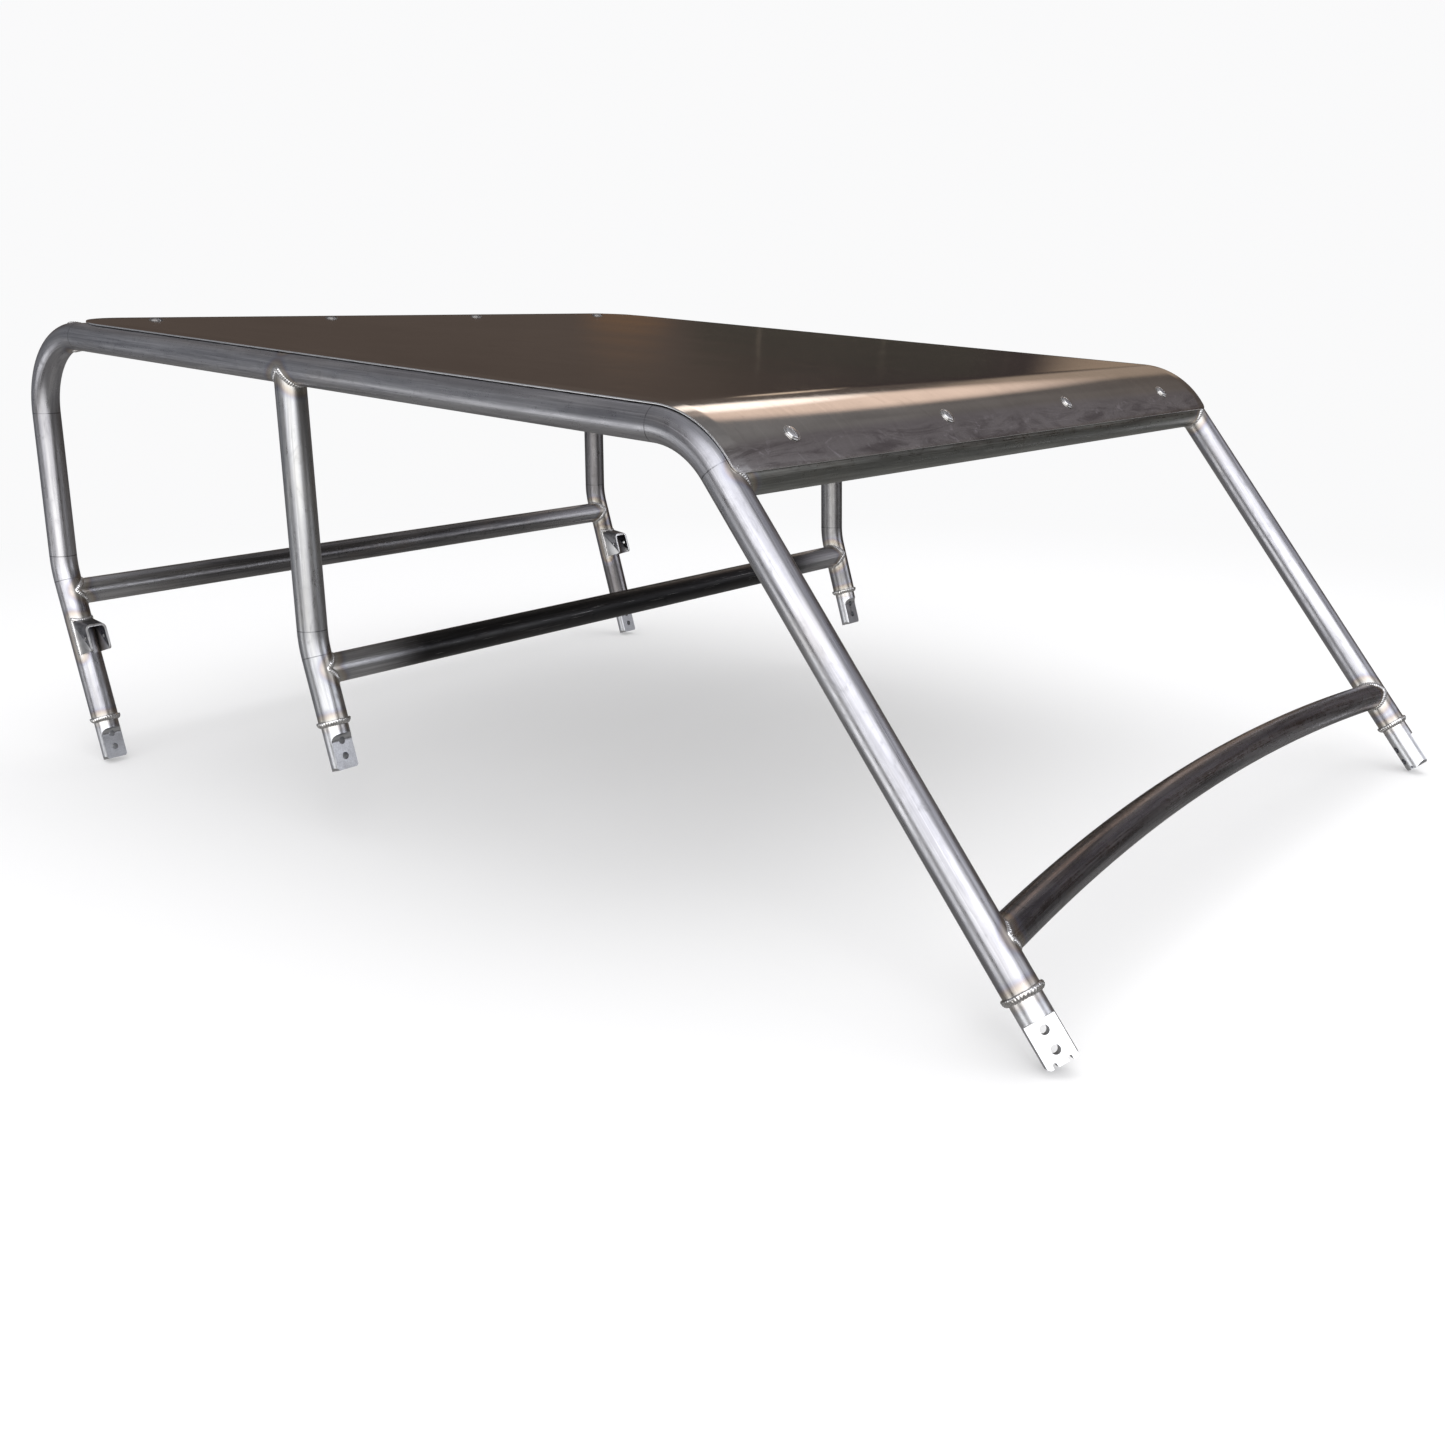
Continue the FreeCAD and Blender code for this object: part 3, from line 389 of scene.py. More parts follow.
def lathe(name, profile, base, axis, e1, n):
    """A turned solid: profile is a closed loop of (radius, height), radius 0 on the axis."""
    axis, e1 = unit(axis), unit(e1)
    around = circle(e1, np.cross(axis, e1), n)
    verts, rings = [], []
    for radius, height in profile:
        if radius < 1e-7:
            rings.append([len(verts)] * n)
            verts.append(base + axis * height)
        else:
            rings.append(list(range(len(verts), len(verts) + n)))
            verts += list(base + around * radius + axis * height)
    faces = []
    count = len(profile)
    for i in range(count - 1 if profile[0][0] < 1e-7 else count):
        p, q = rings[i], rings[(i + 1) % count]
        for j in range(n):
            k = (j + 1) % n
            face = tuple(dict.fromkeys([p[j], p[k], q[k], q[j]]))
            if len(face) > 2:
                faces.append(face)
    obj = mesh_object(name, verts, faces)
    sharpen(obj, 35)
    return obj


# ---------------------------------------------------------------------------
# weld beads: made first, so the tubes can carry their heat tint
# ---------------------------------------------------------------------------
BEAD_SIDES = 12
BEAD_STEP = 0.00055      # between a bead's rings
BEAD_DEPTH = 0.0016      # the buried half's depth
SWELL_LENGTH = 0.0035
welds = []
weld_points = []         # points on every weld's middle line


def bead(name, points, outs, closed, width=0.0092, height=0.0027, pitch=0.0033, swells=()):
    """A rippled, half-buried roll along points; outs points away from the corner it fills.

    swells holds (share of the length, extra height) for thicker spots.
    """
    seed = len(welds) + 1
    points, outs = np.asarray(points, float), unit(outs)
    if closed:
        points, outs = np.concatenate([points, points[:1]]), np.concatenate([outs, outs[:1]])
    s = np.concatenate([[0], np.cumsum(np.linalg.norm(np.diff(points, axis=0), axis=1))])
    total = s[-1]
    n = max(12, int(total / BEAD_STEP))
    want = np.linspace(0, total, n, endpoint=not closed)
    middle, out = (np.stack([np.interp(want, s, column) for column in values.T], 1)
                   for values in (points, outs))
    along = unit(np.roll(middle, -1, 0) - np.roll(middle, 1, 0) if closed
                 else np.gradient(middle, axis=0))
    out = unit(out - (out * along).sum(1)[:, None] * along)
    across = np.cross(along, out)
    phase = np.random.default_rng(100 + seed).uniform(0, 10)
    # slow and quick changes of height along the bead
    waver = 1 + 0.10 * np.sin(want / 0.011 + phase) + 0.06 * np.sin(want / 0.0043 + 2 * phase)
    verts = np.empty((n, BEAD_SIDES, 3))
    coords = []
    for j, angle in enumerate(angles(BEAD_SIDES)):
        side, up = math.cos(angle), math.sin(angle)
        rise = np.full(n, BEAD_DEPTH)
        if up > 0:
            # ripples that lag towards the bead's edges, so each is a crescent
            saw = (want / pitch - 0.55 * (side ** 2)) % 1.0
            rise = height * waver * (1.0 - 0.42 * np.exp(-((saw - 0.5) / 0.28) ** 2))
            for place, gain in swells:
                gap = np.abs(want - place * total)
                gap = np.minimum(gap, total - gap) if closed else gap
                rise = rise * (1 + gain * np.exp(-(gap / SWELL_LENGTH) ** 2))
        spread_out = side * width / 2 * (1 + 0.06 * np.sin(want / 0.0061 + phase + j))
        verts[:, j] = middle + across * spread_out[:, None] + out * (rise * up)[:, None]
        coords.append(np.stack([np.full(n, side * width / 2), np.full(n, up * height), want], 1))
    faces = []
    for i in range(n if closed else n - 1):
        faces += band(i * BEAD_SIDES, (i + 1) % n * BEAD_SIDES, BEAD_SIDES)
    if not closed:
        ring = np.arange(BEAD_SIDES)
        faces += [tuple(ring[::-1]), tuple((n - 1) * BEAD_SIDES + ring)]
    welds.append(mesh_object(name, verts.reshape(-1, 3), faces,
                             {"tc": np.stack(coords, 1).reshape(-1, 3),
                              "pid": np.full(n * BEAD_SIDES, float(seed % 17))}))
    weld_points.extend(middle[::max(1, int(0.003 / (total / n)))])


def saddle_bead(name, centre, along, e1, e2, main, far, trim=0.0, swells=()):
    """A bead where a tube's outside meets the main tube that it is notched to."""
    around = circle(e1, e2, 120)
    run = cope_run(centre, along, around * TUBE_R, main, far, trim)
    line = centre + around * TUBE_R + np.outer(run, along)
    direction = unit(main[1])
    off_main = line - main[0]
    off_main = unit(off_main - np.outer(off_main @ direction, direction))
    bead(name, line, unit(around + off_main * 0.9), True, swells=swells)


hoops = {side: hoop_path(y) for side, y in SIDES}
pillars = {side: pillar_path(y) for side, y in SIDES}
cross_mains = {}  # (cross tube, side): point, direction and arc length on the tube it meets
for name, (x, z) in CROSS_TUBES.items():
    for side, y in SIDES:
        main = (pillars if name == "harness_bar" else hoops)[side]
        s = main.nearest(x, z)
        point, along, _ = main(s)
        if name != "rear_header_tube":
            point = at(x, y, z)
        cross_mains[name, side] = (point, along, s)
        saddle_bead("weld_%s_%s" % (name, side), at(x, y, z), Y, X, Z, (point, along), y < 0,
                    swells=((0.1, 0.5), (0.62, 0.4)) if name in ("rear_cross_bar", "harness_bar")
                    else ((0.3, 0.35),))

# the windshield arch bar: two short straight ends and one long bend, rising up and back
ARCH_UP = vec(-math.cos(math.radians(30)), 0, math.sin(math.radians(30)))
ARCH_STRAIGHT, ARCH_RISE, ARCH_TRIM = 0.060, 0.040, 0.0035
arch_turn = 2 * math.atan(ARCH_RISE / (HALF_WIDTH + ARCH_STRAIGHT))
arch_radius = (HALF_WIDTH - ARCH_STRAIGHT * math.cos(arch_turn)) / math.sin(arch_turn)
arch_path = Path(at(ARCH_END[0], -HALF_WIDTH, ARCH_END[1]), Y, ARCH_UP, arch_turn,
                 [ARCH_STRAIGHT, ARCH_STRAIGHT], [(-2 * arch_turn, arch_radius)])
arch_mains = {side: (at(ARCH_END[0], y, ARCH_END[1]), FRONT_DOWN) for side, y in SIDES}
pillar_mains = {side: (at(MIDDLE[0], y, MIDDLE[1]), RAIL_FORE) for side, y in SIDES}
for side, y in SIDES:
    centre, along, normal = arch_path(0.0 if y < 0 else arch_path.length)
    saddle_bead("weld_arch_" + side, centre, along, normal, arch_path.out, arch_mains[side],
                y < 0, ARCH_TRIM, swells=((0.2, 0.4), (0.7, 0.3)))
    pillar = pillars[side]
    centre, along, normal = pillar(pillar.length)
    saddle_bead("weld_pillar_top_" + side, centre, along, normal, pillar.out,
                pillar_mains[side], False, swells=((0.4, 0.4),))

# feet: (name, tube's end, way down the tube, way the machined flat faces)
FLAT_TURN = math.radians(40.0)  # front feet's flats, from outboard towards up
FEET = []
for side, y in SIDES:
    FEET += [
        (side + "_rear_foot", at(HOOP_FOOT[0], y, HOOP_FOOT[1]), LEG_DOWN, LEG_FORE),
        (side + "_middle_foot", at(PILLAR_FOOT[0], y, PILLAR_FOOT[1]), LEG_DOWN, LEG_FORE),
        (side + "_front_foot", at(HOOP_END[0], y, HOOP_END[1]), FRONT_DOWN,
         vec(0, math.copysign(math.cos(FLAT_TURN), y), 0) + FRONT_UP * math.sin(FLAT_TURN))]
for name, base, down, flat in FEET:
    around = circle(flat, np.cross(down, flat), 110)
    bead("weld_" + name, base + around * (TUBE_R - 0.0008) + down * 0.0006, around + down * 0.8,
         True, width=0.0108, height=0.0033, pitch=0.0037, swells=((0.22, 0.5), (0.78, 0.5), (0.5, 0.3)))

# leg brackets: a tilted web and two ears; its top corner is dropped and set forward of the bar
BRACKET_HALF, BRACKET_TILT = 0.019, math.radians(25.0)
BRACKET_DROP, BRACKET_REACH = 0.064, 0.050


def web_top(dy):
    """How far down the leg the web's top meets it."""
    reach = BRACKET_REACH - math.sqrt(TUBE_R * TUBE_R - dy * dy)
    return BRACKET_DROP - reach * math.tan(BRACKET_TILT)


def bracket_bead(side, y):
    """Up one ear, over the web and down the other ear."""
    bar = at(REAR_BAR[0], y, 0.0)
    ear_y, ear_end, ear_top = BRACKET_HALF + 0.0006, 0.110, web_top(BRACKET_HALF) + 0.004
    # (sideways from the leg's middle, down the leg, outward lean)
    stations = [(-ear_y, down, Y * -0.6) for down in np.linspace(ear_end, ear_top, 24)]
    stations += [(dy, web_top(dy), LEG_DOWN * -0.7) for dy in np.linspace(-BRACKET_HALF, BRACKET_HALF, 24)]
    stations += [(ear_y, down, Y * 0.6) for down in np.linspace(ear_top, ear_end, 24)]
    line, outs = [], []
    for dy, down, lean in stations:
        fore = math.sqrt(max(TUBE_R * TUBE_R - dy * dy, 0))
        line.append(bar + LEG_FORE * fore + LEG_DOWN * down + Y * dy)
        outs.append(LEG_FORE * fore / TUBE_R + Y * (dy / TUBE_R) + lean)
    bead("weld_bracket_" + side, line, outs, False, width=0.0060, height=0.0019)


for side, y in SIDES:
    bracket_bead(side, y)

weld_tree = KDTree(len(weld_points))
for i, point in enumerate(weld_points):
    weld_tree.insert(point, i)
weld_tree.balance()


def paint_weld_distance(obj):
    """Stores how far each point is from the nearest weld, up to 0.2."""
    co = np.empty(len(obj.data.vertices) * 3, np.float32)
    obj.data.vertices.foreach_get("co", co)
    out = np.array([weld_tree.find(c)[2] for c in co.reshape(-1, 3)], np.float32)
    attribute = obj.data.attributes.new("weld", "FLOAT", "POINT")
    attribute.data.foreach_set("value", np.minimum(out, 0.2))


# ---------------------------------------------------------------------------
# tubes
# ---------------------------------------------------------------------------
TUBE_SIDES = 64


def tube(name, path, fine_at, start=None, end=None, trim=0.0):
    """A hollow tube along path; start and end are the (point, direction) it is notched to.

    Attributes: tc is the place around and along the tube, mk the distance to the nearest
    end of a bend, en the distance to the nearest end of the tube, pid a number for the piece.
    """
    stations = path.samples(fine_at)
    length = stations[-1]
    first_end, last_start = path.parts[0][1], path.parts[-1][0]
    angle = angles(TUBE_SIDES)

    def notch(radius, s, main, far):
        if main is None:
            return np.zeros(TUBE_SIDES)
        centre, along, normal = path(s)
        offsets = radius * circle(normal, path.out, TUBE_SIDES)
        return cope_run(centre, along, offsets, main, far, trim)

    def rings(radius, steps):
        """Rings whose notches fade out over the end runs."""
        start_run = notch(radius, 0.0, start, True)
        end_run = notch(radius, length, end, False)
        points, coords = [], []
        for s in steps:
            shift = np.zeros(TUBE_SIDES)
            if s <= first_end:
                shift = start_run * (first_end - s) / first_end
            if s >= last_start:
                shift = shift + end_run * (s - last_start) / (length - last_start)
            centre, along, normal = path(s)
            points.append(centre + np.outer(shift, along)
                          + radius * circle(normal, path.out, TUBE_SIDES))
            coords.append(np.stack([TUBE_R * np.cos(angle), TUBE_R * np.sin(angle), s + shift], 1))
        return np.concatenate(points), np.concatenate(coords)

    bore_stations = path.samples(length=length, straight_step=0.2)
    outer, outer_coords = rings(TUBE_R, stations)
    bore, bore_coords = rings(BORE_R, bore_stations)
    first_bore = len(outer)
    last_outer, last_bore = first_bore - TUBE_SIDES, first_bore + len(bore) - TUBE_SIDES
    faces = []
    for i in range(0, last_outer, TUBE_SIDES):
        faces += band(i, i + TUBE_SIDES, TUBE_SIDES)
    for i in range(first_bore, last_bore, TUBE_SIDES):
        faces += band(i, i + TUBE_SIDES, TUBE_SIDES, inward=True)
    faces += band(0, first_bore, TUBE_SIDES, inward=True)
    faces += band(last_outer, last_bore, TUBE_SIDES)
    points, coords = np.concatenate([outer, bore]), np.concatenate([outer_coords, bore_coords])
    run = coords[:, 2]
    marks = np.array(path.marks or [99.0])  # a straight tube's mark is out of reach
    obj = mesh_object(name, points, faces, {
        "tc": coords,
        "mk": np.minimum(np.abs(run[:, None] - marks[None, :]).min(1), 1.0),
        "en": np.minimum(run, length - run),
        "pid": np.full(len(points), float(sum(map(ord, name)) % 37))})
    sharpen(obj, 50)
    paint_weld_distance(obj)
    return obj


tubes = []  # (object, CAD node)
for side, y in SIDES:
    path = hoops[side]
    joints = [cross_mains[name, side][2] for name in CROSS_TUBES if name != "harness_bar"]
    joints += [0.0, path.nearest(*ARCH_END), path.length, path.nearest(0.022, -0.078)]
    tubes.append((tube(side + "_side_hoop_tube", path, joints), side + "_side_hoop"))
    path = pillars[side]
    joints = [0.0, cross_mains["harness_bar", side][2], path.length]
    tubes.append((tube(side + "_middle_pillar_tube", path, joints, end=pillar_mains[side]),
                  side + "_middle_pillar"))
for name, (x, z) in CROSS_TUBES.items():
    path = Path(at(x, -HALF_WIDTH, z), Y, -X, 0.0, [2 * HALF_WIDTH])
    tubes.append((tube(name + "_drawn", path, [0.0, path.length],
                       start=cross_mains[name, "right"][:2], end=cross_mains[name, "left"][:2]), name))
tubes.append((tube("windshield_arch_bar_rolled", arch_path, [0.0, arch_path.length],
                   start=arch_mains["right"], end=arch_mains["left"], trim=ARCH_TRIM),
              "windshield_arch_bar"))


# ---------------------------------------------------------------------------
# feet
# ---------------------------------------------------------------------------
FLAT_OFF = 0.0078        # tube's axis to the flat
HOLE_R, HOLE_GAP = 0.0055, 0.023


def foot(name, base, down, flat):
    """A turned stub with an insert up the tube, a flat cut on one side and two cross holes."""
    front = "front" in name
    length, flat_start, first_hole = (0.082, 0.029, 0.042) if front else (0.071, 0.018, 0.0285)
    fillet, fillet_points = (0.0025, 8) if front else (0.0122, 16)
    across = np.cross(down, flat)
    body = lathe(name + "_insert",
                 [(0, -0.032), (0.0187, -0.032), (0.0197, -0.031), (0.0197, -0.0002),
                  (0.020, 0.0), (0.020, length), (0, length)], base, down, flat, 96)
    beside = [(FLAT_OFF, length + 0.01)]
    beside += arc(FLAT_OFF + fillet, flat_start + fillet, fillet, math.pi, 1.5 * math.pi, fillet_points)
    beside += [(0.03, flat_start), (0.03, length + 0.01)]
    cut(body, beside, base - across * 0.03, flat, down, across, 0.06)

    def cut_through(outline, start=base):
        cut(body, outline, start - flat * 0.03, across, down, flat, 0.06)

    for k in range(2):
        cut_through(disc(0, 0, HOLE_R, 48), base + down * (first_hole + HOLE_GAP * k))
    for s in (1, -1):  # clipped corners
        cut_through([(s * 0.015, length + 0.0005), (s * 0.021, length + 0.0005),
                     (s * 0.021, length - 0.006)])
    for s in (-0.009, 0.009) if front else ():  # notches in the end
        bottom = length - 0.0045
        cut_through([(s - 0.0025, length + 0.001), (s - 0.0025, bottom)]
                    + arc(s, bottom, 0.0015, math.pi, 2 * math.pi, 7)[1:-1]
                    + [(s + 0.0025, bottom), (s + 0.0025, length + 0.001)])
    bevel(body, 0.00045)
    even = body.modifiers.new("wn", "WEIGHTED_NORMAL")  # keeps the flat's shading flat
    even.mode, even.weight, even.keep_sharp = "FACE_AREA", 100, True
    bake(body)
    paint_weld_distance(body)
    return body


feet = [(foot(*spec), *spec) for spec in FEET]


# ---------------------------------------------------------------------------
# leg brackets
# ---------------------------------------------------------------------------
def arch_outline(half, top, bottom, radius):
    """A rectangle with two rounded top corners."""
    return [(-half, bottom)] + arc(-half + radius, top - radius, radius, math.pi, math.pi / 2, 9) + \
        arc(half - radius, top - radius, radius, math.pi / 2, 0, 9) + [(half, bottom)]


def leg_bracket(side, y):
    """Bent plate: a U seen along its tilted web, trimmed to shape and coped to the leg."""
    leg = at(REAR_BAR[0], y, 0.0)
    corner = leg + LEG_DOWN * BRACKET_DROP + LEG_FORE * BRACKET_REACH
    fore = math.cos(BRACKET_TILT) * LEG_FORE + math.sin(BRACKET_TILT) * LEG_DOWN
    up = -math.cos(BRACKET_TILT) * LEG_DOWN + math.sin(BRACKET_TILT) * LEG_FORE
    shell = prism(arch_outline(BRACKET_HALF, 0.0, -0.11, 0.009), corner - fore * 0.090, Y, up, fore, 0.120)
    cut(shell, arch_outline(0.015, -0.004, -0.13, 0.005), corner - fore * 0.100, Y, up, fore, 0.140)
    side_view = [(-BRACKET_REACH, 0.04), (-BRACKET_REACH, -0.046)]
    side_view += arc(-0.005, -0.041, 0.005, 1.5 * math.pi, 2 * math.pi, 9) + [(0.0, 0.04)]
    across_ears = (corner - Y * 0.03, LEG_FORE, -LEG_DOWN, Y, 0.06)
    cut(shell, side_view, *across_ears, "INTERSECT")
    cut(shell, disc(-0.010, -0.022, 0.0033, 40), *across_ears)
    cut(shell, disc(0, 0, TUBE_R, 96), leg - LEG_DOWN * 0.05, LEG_FORE, Y, LEG_DOWN, 0.25)
    shell.name = side + "_leg_bracket_bent"
    bevel(shell, 0.0005)
    paint_cut(shell, lambda normal, middle: normal @ LEG_FORE > 0.6 or normal @ LEG_DOWN > 0.97)
    paint_weld_distance(shell)
    return shell


brackets = [(leg_bracket(side, y), side + "_leg_bracket") for side, y in SIDES]

# ---------------------------------------------------------------------------
# roof panel: run is measured forward along the hoop's axis from the rear edge
# ---------------------------------------------------------------------------
PANEL_X, PANEL_HALF = 0.074, 0.682       # rear edge, half width
LIFT, THICK = 0.0014, 0.0020             # gap above the tubes, sheet
BREAK_IN, BREAK_DROP, BREAK_SOFT = 0.026, 0.00115, 0.0022  # the side edges bent slightly down
LIP_START, LIP_BREAK = 0.0005, math.radians(1.5)           # front lip, bent slightly further
REAR_ROUND, REAR_FADE = 0.110, 0.25      # rear corners' radius, where the rows are straight again
LIP_ROUND = 0.012                        # lip corners' radius
FLAT_LEN = (FRONT_CORNER[0] - FRONT_TAN * math.cos(SLOPE) - PANEL_X) / math.cos(SLOPE)
ARC_LEN = (FRONT - SLOPE) * ROOF_R
TIP = FLAT_LEN + ARC_LEN + 0.0765 - FRONT_TAN
BEND_CENTRE = on_front(FRONT_TAN, -ROOF_R)
STUD_GAP = 0.361
STUD_Y = [k * STUD_GAP for k in (-1.5, -0.5, 0.5, 1.5)]
SHEET_R = ROOF_R + TUBE_R + LIFT + THICK  # outside of the sheet around the front bend
FRONT_STUD_HEADING = FRONT - math.asin((FRONT_TAN - 0.033) / SHEET_R)
FRONT_STUD_RUN = (FRONT_STUD_HEADING - SLOPE) * ROOF_R    # from the bend's start
REAR_STUD_X = 0.130
REAR_STUD_RUN = (REAR_STUD_X - PANEL_X) / math.cos(SLOPE)


def panel_place(run, off):
    """A place on the sheet, off outward from the hoop's axis."""
    if run <= FLAT_LEN:
        x, z = on_rail(PANEL_X)
        return (x + run * math.cos(SLOPE) + off * math.sin(SLOPE),
                z - run * math.sin(SLOPE) + off * math.cos(SLOPE))
    run -= FLAT_LEN
    if run <= ARC_LEN:
        heading = SLOPE + run / ROOF_R
        return (BEND_CENTRE[0] + (ROOF_R + off) * math.sin(heading),
                BEND_CENTRE[1] + (ROOF_R + off) * math.cos(heading))
    run -= ARC_LEN
    knee = on_front(FRONT_TAN + LIP_START, off)
    heading = FRONT + (LIP_BREAK if run > LIP_START else 0)
    past = run - LIP_START
    return knee[0] + past * math.cos(heading), knee[1] - past * math.sin(heading)


def spread(fixed, step):
    """The fixed stations with even ones between them, at most step apart."""
    fixed = sorted(set(round(f, 6) for f in fixed))
    out = [fixed[0]]
    for a, b in zip(fixed, fixed[1:]):
        n = max(1, int(math.ceil((b - a) / step)))
        out += [a + (b - a) * i / n for i in range(1, n + 1)]
    return out


def panel_rows():
    rows = spread([0.0, REAR_STUD_RUN - 0.013, REAR_STUD_RUN + 0.013, REAR_FADE, FLAT_LEN], 0.03)
    bend = spread([0.0, FRONT_STUD_RUN - 0.011, FRONT_STUD_RUN + 0.011, ARC_LEN], 0.0045)
    rows += [FLAT_LEN + run for run in bend[1:]]
    rows += [FLAT_LEN + ARC_LEN + run for run in (LIP_START, 0.0016, 0.006)]
    return rows + [TIP - LIP_ROUND, TIP]


def panel_columns():
    inner = PANEL_HALF - REAR_ROUND
    cols = spread([0.0] + [y + d for y in STUD_Y[2:] for d in (-0.013, 0.013)] + [inner], 0.03)
    cols += [inner + REAR_ROUND * math.sin(a) for a in np.linspace(0, math.pi / 2, 14)[1:]]
    cols += [PANEL_HALF - BREAK_IN + d for d in (-0.004, -0.002, 0.0, 0.002, 0.004)]
    cols += [PANEL_HALF - d for d in (0.012, 0.006, 0.002)]
    cols = sorted(set(round(c, 5) for c in cols))
    cols = [cols[0]] + [b for a, b in zip(cols, cols[1:]) if b - a > 0.0006]
    return [-c for c in cols[::-1] if c > 0] + cols


def edge_drop(y):
    """How far the sheet is bent down near its side edges."""
    d = abs(y) - (PANEL_HALF - BREAK_IN)
    if d <= -0.01:
        return 0.0
    return (BREAK_DROP / BREAK_IN) * 0.5 * (d + math.sqrt(d * d + BREAK_SOFT * BREAK_SOFT))


def warp(run, y):
    """Slow, shallow waves, gone near the rails, the rear studs and the bend."""
    fade = max(0.0, 1 - (abs(y) / 0.62) ** 6) * min(1.0, max(0.0, run - 0.10) / 0.15) * \
        min(1.0, max(0.0, FLAT_LEN - run) / 0.12)
    wave = math.sin(run * 7.1 + 1.3 * math.sin(y * 4.3)) * math.cos(y * 6.2 + 0.8) + \
        0.6 * math.sin(run * 13.0 + y * 9.0 + 1.7) + 0.35 * math.sin(y * 23 - run * 5.0)
    return 0.00022 * fade * wave


def corner_inset(y, radius):
    """How far a rounded corner of the panel sets its edge back at y."""
    return radius - math.sqrt(max(radius ** 2 - (abs(y) - PANEL_HALF + radius) ** 2, 0.0))


def roof_sheet():
    rows, cols = panel_rows(), panel_columns()
    top, under = [], []
    for run in rows:
        for y in cols:
            place = run
            if abs(y) > PANEL_HALF - REAR_ROUND and run < REAR_FADE:
                inset = corner_inset(y, REAR_ROUND)
                place = inset + run * (REAR_FADE - inset) / REAR_FADE
            if abs(y) > PANEL_HALF - LIP_ROUND and run > TIP - LIP_ROUND - 0.0001:
                share = (run - (TIP - LIP_ROUND)) / LIP_ROUND
                place = (TIP - LIP_ROUND) + share * (LIP_ROUND - corner_inset(y, LIP_ROUND))
            off = TUBE_R + LIFT - edge_drop(y) + warp(run, y)
            for points, level in ((top, off + THICK), (under, off)):
                x, z = panel_place(place, level)
                points.append(at(x, y, z))
    n_rows, n_cols = len(rows), len(cols)
    base = n_rows * n_cols
    faces = []
    for i in range(n_rows - 1):
        for j in range(n_cols - 1):
            a = i * n_cols + j
            faces.append((a, a + 1, a + n_cols + 1, a + n_cols))
            faces.append((base + a, base + a + n_cols, base + a + n_cols + 1, base + a + 1))
    for j in range(n_cols - 1):
        for i in (0, n_rows - 1):
            a = i * n_cols + j
            faces.append((a, base + a, base + a + 1, a + 1))
    for i in range(n_rows - 1):
        for j in (0, n_cols - 1):
            a = i * n_cols + j
            faces.append((a, base + a, base + a + n_cols, a + n_cols))
    return mesh_object("roof_panel_sheet", np.array(top + under), faces)


panel = roof_sheet()

# ---------------------------------------------------------------------------
# studs, washers and the tabs' beads
# ---------------------------------------------------------------------------
heading = FRONT_STUD_HEADING
STUD_ROWS = {  # (x, z) on top of the sheet, the stud's axis, the way towards the sheet's near edge
    "front": ((BEND_CENTRE[0] + SHEET_R * math.sin(heading), BEND_CENTRE[1] + SHEET_R * math.cos(heading)),
              vec(math.sin(heading), 0, math.cos(heading)), vec(math.cos(heading), 0, -math.sin(heading))),
    "rear": (on_rail(REAR_STUD_X, TUBE_R + LIFT + THICK), vec(math.sin(SLOPE), 0, math.cos(SLOPE)),
             vec(-math.cos(SLOPE), 0, math.sin(SLOPE))),
}


def stud(name, base, axis, along, across):
    """A domed, slotted head on a shank that is slotted at its foot for a wire."""
    seat, head_r, head_h, shank_r = 1.22 * MM, 9.0 * MM, 2.6 * MM, 4.35 * MM
    rim, wire_z, wire_r = 0.9 * MM, -7.8 * MM, 1.45 * MM
    foot_z = wire_z - 6.0 * MM
    profile = [(0, foot_z), (shank_r - 1.0 * MM, foot_z), (shank_r, foot_z + 1.0 * MM),
               (shank_r, seat), (head_r - 0.3 * MM, seat), (head_r, seat + 0.3 * MM)]
    profile += [(head_r * math.cos(t), seat + rim + (head_h - rim) * math.sin(t))
                for t in np.linspace(0, math.pi / 2, 12)[:-1]]
    profile.append((0, seat + head_h))
    obj = lathe(name, profile, base, axis, along, 64)

    def box(half, bottom, top):
        return [(-half, bottom), (half, bottom), (half, top), (-half, top)]

    # head slot, two quarter sectors at the wire's height, the wire's hole, the foot's slot
    cut(obj, box(0.95 * MM, seat + rim, seat + 5 * MM), base - along * 0.012, across, axis, along, 0.024)
    for start in (0.0, math.pi):
        sector = [(0, 0)] + arc(0, 0, 0.006, start, start + math.pi / 2, 12)
        cut(obj, sector, base + axis * (wire_z - wire_r), along, across, axis, 2 * wire_r)
    cut(obj, box(wire_r, wire_z - wire_r, wire_z + wire_r), base - across * 0.008, along, axis,
        across, 0.016)
    cut(obj, box(wire_r, foot_z - MM, wire_z + wire_r), base - along * 0.008, across, axis,
        along, 0.016)
    bevel(obj, 0.00012, 40, 1, 30)
    return obj


WASHER_PROFILE = [  # (radius, height above the sheet)
    (4.40 * MM, 0.02 * MM), (11.7 * MM, 0.02 * MM), (12.0 * MM, 0.3 * MM), (12.0 * MM, 0.9 * MM),
    (11.6 * MM, 1.2 * MM), (4.7 * MM, 1.2 * MM), (4.40 * MM, 0.9 * MM)]
studs, washers = [], []  # (object, CAD node)
for row, ((x, z), axis, along) in STUD_ROWS.items():
    rings = []
    across = np.cross(axis, along)
    for i, y in enumerate(STUD_Y, start=1):
        base = at(x, y, z)
        cut(panel, disc(0, 0, 0.0056, 40), base - axis * 0.006, along, across, axis, 0.012)
        node = "%s_stud_%d" % (row, i)
        studs.append((stud(node + "_turned", base, axis, along, across), node))
        rings.append(lathe("ring", WASHER_PROFILE, base, axis, along, 64))
    washers.append((joined(rings, row + "_washer_rings"), row + "_stud_washers"))

